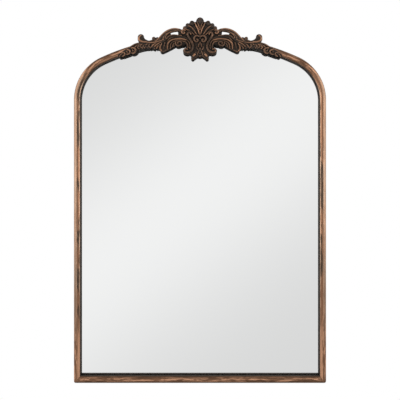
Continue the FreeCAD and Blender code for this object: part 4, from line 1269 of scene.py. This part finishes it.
@dataclass
class Crest:
    """Three castings over the crown: the shell and two mirrored sprays."""

    crown_radius: float = 574.0      # millimetres, as all sizes here
    bar_width: float = 15.0
    front_rise: float = 4.0
    back: float = -8.0
    pane_back: float = -13.4         # back of the parts that hang over the pane
    lean_start: float = -15.6        # below it the castings lean back towards the pane
    lean_full: float = -28.0
    lean_share: float = 0.44         # of their depth, at the lowest
    saddle_gap: float = 0.3
    casting_gap: float = 0.3
    fillet: float = 0.8
    pitch: float = 0.65
    quick_pitch: float = 1.3
    shell_low: tuple[float, float, float] = (-46.0, -66.0, -15.0)
    shell_high: tuple[float, float, float] = (46.0, 48.0, 14.0)
    spray_low: tuple[float, float, float] = (18.0, -64.0, -15.0)
    spray_high: tuple[float, float, float] = (206.0, 24.0, 11.0)

    def __post_init__(self) -> None:
        """Take the crown's top and the moulding's front line from the CAD frame."""
        low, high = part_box("frame_arch")
        self.front_y = low.y
        self.crown_top = high.z

    def arch_plan(self, x: np.ndarray, z: np.ndarray) -> tuple[np.ndarray, np.ndarray]:
        """Distances along the crown's outside line and out from it.

        Args:
            x: places across, from the middle.
            z: places up, from the crown's top.

        Returns:
            The distance along, and the distance out.
        """
        rise = z + self.crown_radius
        return np.arctan2(x, rise) * self.crown_radius, np.hypot(x, rise) - self.crown_radius

    def finish_back(self, relief: Relief) -> None:
        """Flatten a casting's back and clear its saddle over the moulding.

        Args:
            relief: the casting's field.
        """
        _, out = self.arch_plan(*np.meshgrid(
            relief.low[0] + relief.pitch * np.arange(relief.field.shape[0]),
            relief.low[1] + relief.pitch * np.arange(relief.field.shape[1]), indexing="ij"))
        half = self.bar_width / 2
        radius = (self.front_rise ** 2 + half ** 2) / (2 * self.front_rise)
        off = np.abs(-out - half)
        bulge = np.sqrt(np.maximum(radius ** 2 - np.minimum(off, half) ** 2, 0.0)) - radius + self.saddle_gap
        back = np.where(out < -self.bar_width, self.pane_back, self.back)
        relief.cut_below(np.where(off < half + self.saddle_gap, bulge, back))

    def leaned(self, spots: np.ndarray) -> np.ndarray:
        """Heights of a casting's skin once its hanging parts lean back.

        Args:
            spots: rows of (x, z, height).

        Returns:
            The new heights.
        """
        _, out = self.arch_plan(spots[:, 0], spots[:, 1])
        share = self.lean_share * np.interp(-out, (-self.lean_start, -self.lean_full), (0.0, 1.0))
        return self.pane_back + (spots[:, 2] - self.pane_back) * (1 - share)

    def piece(self, name: str, relief: Relief, side: int) -> bpy.types.Object:
        """Make one casting's mesh.

        Args:
            name: the piece's name.
            relief: its field.
            side: -1 to mirror it to the left, else 1.

        Returns:
            The new object.
        """
        spots, quads, proud = relief.surface()
        places = np.column_stack([
            side * spots[:, 0] * MM,
            self.front_y - self.leaned(spots) * MM,
            self.crown_top + spots[:, 1] * MM])
        made = new_piece(name, places, quads if side > 0 else quads[:, ::-1])
        put_numbers(made, RUB_ATTRIBUTE, proud)
        return made

    def shell_relief(self, low: Sequence[float], high: Sequence[float]) -> Relief:
        """Field of the middle casting on a grid of its own or a spray's.

        Args:
            low: the grid's least x, z and height.
            high: its greatest.

        Returns:
            The field, its back not yet cut.
        """
        relief = Relief(low, high, self.pitch, lambda x, z: (x, z))
        for stroke in SHELL_GROUND + SHELL_CARVING:
            relief.lay(stroke, self.fillet)
            if any(abs(a) > self.fillet for a, _ in stroke.path):
                relief.lay(stroke.mirrored(), self.fillet)
        return relief

    def spray_relief(self) -> Relief:
        """Field of the right spray, clear of the shell.

        Returns:
            The finished field.
        """
        relief = Relief(self.spray_low, self.spray_high, self.pitch, self.arch_plan)
        for stroke in SPRAY_GROUND + SPRAY_CARVING:
            relief.lay(stroke, self.fillet)
        relief.clear(self.shell_relief(self.spray_low, self.spray_high), self.casting_gap)
        self.finish_back(relief)
        return relief

    def build(self, wardrobe: Wardrobe) -> list[bpy.types.Object]:
        """Make and dress the castings.

        Args:
            wardrobe: the materials.

        Returns:
            The new pieces.
        """
        shell = self.shell_relief(self.shell_low, self.shell_high)
        self.finish_back(shell)
        spray = self.spray_relief()
        made = {
            "crest_shell": self.piece("crest_shell_casting", shell, 1),
            "crest_spray_right": self.piece("crest_spray_right_casting", spray, 1),
            "crest_spray_left": self.piece("crest_spray_left_casting", spray, -1),
        }
        for node, piece in made.items():
            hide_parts(node)
            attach(piece, "root")
            wardrobe.dress(piece, Slot.CAST_CREST)
        return list(made.values())


@dataclass(frozen=True)
class NodeGroup:
    """A sub-assembly whose CAD nodes are shown as they are, each with the finish of its record slot."""

    names: tuple[str, ...] = ()          # beginnings of its nodes' names

    def build(self, wardrobe: Wardrobe) -> list[bpy.types.Object]:
        """Dress the sub-assembly's nodes.

        Args:
            wardrobe: the materials.

        Returns:
            The dressed nodes.
        """
        slots = {row["node"]: Slot(row["material_slot"]) for row in frame["record"]["subparts"]}
        made = []
        for name, node in sorted(frame["nodes"].items()):
            if name.startswith(self.names):
                wardrobe.dress(node, slots[name])
                made.append(node)
        return made


@dataclass(frozen=True)
class CornerJoints(NodeGroup):
    """Corner keys inside the mitred corners and their screws."""

    names: tuple[str, ...] = ("corner_key", "corner_screws")


@dataclass(frozen=True)
class Backing(NodeGroup):
    """Tape, foam and board behind the pane, held by tabs and their screws."""

    names: tuple[str, ...] = ("glass_tape", "foam_strips", "backing_board", "retaining_tab", "tab_screws")


@dataclass(frozen=True)
class Hangers(NodeGroup):
    """Brackets, straps and rivets with the swinging rings."""

    names: tuple[str, ...] = ("hanger_bracket", "hanger_strap", "hanger_rivets", "d_ring")


@dataclass(frozen=True)
class WallBumpers(NodeGroup):
    """Rubber bumpers on the back rim."""

    names: tuple[str, ...] = ("wall_bumpers",)


@dataclass(frozen=True)
class CrestFixings(NodeGroup):
    """Plate, ears and screws that hold the castings."""

    names: tuple[str, ...] = ("crest_plate", "crest_ear", "crest_screws")


@dataclass
class Studio:
    """Camera, floor, lamps and the pale room round the mirror."""

    camera_distance: float = 1.58     # to the moulding's front line
    picture_width: float = 0.9649     # of the object's plane that the picture spans
    picture_middle: float = -0.1573   # height of the picture's middle
    lens_height: float = -0.0845
    sensor: float = 0.036
    floor_drop: float = 1.1           # floor below the mirror's foot
    floor_radius: float = 2.6
    floor_sides: int = 96
    floor_grey: Colour = (0.86, 0.86, 0.86)
    lamp_offset: float = 1.35
    lamp_long: float = 2.6
    lamp_tall: float = 1.4
    lamp_height: float = 0.25
    lamp_power: float = 23.0
    room_light: float = 0.50
    band_low: float = 0.715           # greys of the room that the pane shows
    band_high: float = 0.925
    band_width: float = 0.176
    band_slope: Span = (0.6, -0.8)
    band_shift: float = 0.025
    least_depth: float = 0.05         # of a direction, so that nothing is divided by nought
    white_span: Span = (-0.35, 0.05)  # depth of the directions where the grey turns to white

    def __post_init__(self) -> None:
        """Take the front line and the foot from the CAD frame."""
        self.front_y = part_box("frame_arch")[0].y
        self.foot_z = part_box("bottom_rail")[0].z

    def build(self) -> None:
        """Set up the whole studio."""
        self.set_view()
        self.build_camera()
        self.build_room()
        self.build_lamps()
        self.build_floor()

    @staticmethod
    def set_view() -> None:
        """Show colours as they are."""
        bpy.context.scene.view_settings.view_transform = "Standard"

    def build_camera(self) -> None:
        """Level camera in front of the mirror, shifted down to frame it."""
        data = bpy.data.cameras.new("studio_camera")
        data.sensor_width = self.sensor * 1000
        data.lens = self.sensor * 1000 * self.camera_distance / self.picture_width
        data.shift_y = (self.picture_middle - self.lens_height) / self.picture_width
        camera = bpy.data.objects.new("studio_camera", data)
        camera.location = (0.0, self.front_y - self.camera_distance, self.lens_height)
        camera.rotation_euler = (math.pi / 2, 0.0, 0.0)
        bpy.context.scene.collection.objects.link(camera)
        bpy.context.scene.camera = camera

    def build_room(self) -> None:
        """White behind the mirror, and in front of it a soft diagonal band of light on a pale grey."""
        world = bpy.data.worlds.new("studio_room")
        bpy.context.scene.world = world
        world.use_nodes = True
        wiring = Wiring(world.node_tree)
        way = wiring.add("ShaderNodeTexCoord").outputs["Generated"]
        x, y, z = wiring.axes(way)
        ahead = wiring.math("MAXIMUM", wiring.math("ABSOLUTE", y), self.least_depth)
        right = wiring.math("DIVIDE", x, ahead)
        up = wiring.plus(wiring.math("DIVIDE", z, ahead), self.band_shift)
        off = wiring.plus(wiring.times(right, self.band_slope[0]), wiring.times(up, self.band_slope[1]))
        square = wiring.math("POWER", wiring.math("DIVIDE", off, self.band_width), 2.0)
        glow = wiring.math("POWER", math.e, wiring.times(square, -1.0))
        front = wiring.add("ShaderNodeMapRange", {
            "Value": glow, "To Min": self.band_low, "To Max": self.band_high}).outputs["Result"]
        grey = wiring.mix(wiring.ramp(y, *self.white_span), front, opaque((1.0, 1.0, 1.0)))
        rays = wiring.add("ShaderNodeLightPath").outputs
        mirrored = wiring.math("MAXIMUM", rays["Is Glossy Ray"], rays["Is Transmission Ray"])
        seen = wiring.math("MAXIMUM", rays["Is Camera Ray"], mirrored)
        lit = opaque((self.room_light, self.room_light, self.room_light))
        wiring.feed(world.node_tree.nodes["Background"].inputs["Color"], wiring.mix(seen, lit, grey))

    @staticmethod
    def lamp_receivers() -> bpy.types.Collection:
        """List what the lamps light: everything but the pane, which would show their hard edges.

        Returns:
            The list, as a collection for light linking.
        """
        receivers = bpy.data.collections.new("lamp_receivers")
        receivers.objects.link(bpy.data.objects["mirror_pane"])
        receivers.collection_objects[0].light_linking.link_state = "EXCLUDE"
        return receivers

    def build_lamps(self) -> None:
        """Two tall soft boxes, left and right of the camera."""
        receivers = self.lamp_receivers()
        for side, name in ((-1, "soft_box_left"), (1, "soft_box_right")):
            data = bpy.data.lights.new(name, "AREA")
            data.shape = "RECTANGLE"
            data.size = self.lamp_long
            data.size_y = self.lamp_tall
            data.energy = self.lamp_power
            lamp = bpy.data.objects.new(name, data)
            lamp.location = (side * self.lamp_offset, self.front_y - self.lamp_long / 2, self.lamp_height)
            lamp.rotation_euler = (math.pi / 2, 0.0, side * math.pi / 2)
            lamp.light_linking.receiver_collection = receivers
            bpy.context.scene.collection.objects.link(lamp)

    def build_floor(self) -> None:
        """Pale round floor well below the mirror, as it hangs on a wall."""
        count = self.floor_sides
        turns = np.linspace(0.0, 2 * math.pi, count, endpoint=False)
        rim = np.column_stack([np.cos(turns), np.sin(turns), np.zeros(count)]) * self.floor_radius
        rim[:, 2] = self.foot_z - self.floor_drop
        floor = new_piece("studio_floor", rim, [tuple(range(count))])
        material = bpy.data.materials.new("pale_floor")
        material.use_nodes = True
        Wiring(material.node_tree).principled(Base_Color=opaque(self.floor_grey), Roughness=0.9)
        floor.data.materials.append(material)


def report(pieces: Iterable[bpy.types.Object]) -> None:
    """Log each piece with its number of faces."""
    for piece in pieces:
        LOG.info("%s: %d faces", piece.name, len(piece.data.polygons))


def main() -> None:
    """Build every sub-assembly, dress it and set up the studio."""
    logging.basicConfig(level=logging.INFO, format="%(name)s %(message)s")
    wardrobe = Wardrobe()
    assemblies = (
        FrameMoulding(), CornerJoints(), Pane(), Backing(), Hangers(), WallBumpers(), CrestFixings(), Crest(),
    )
    for assembly in assemblies:
        report(assembly.build(wardrobe))
    Studio().build()


if __name__ == "__main__":
    main()
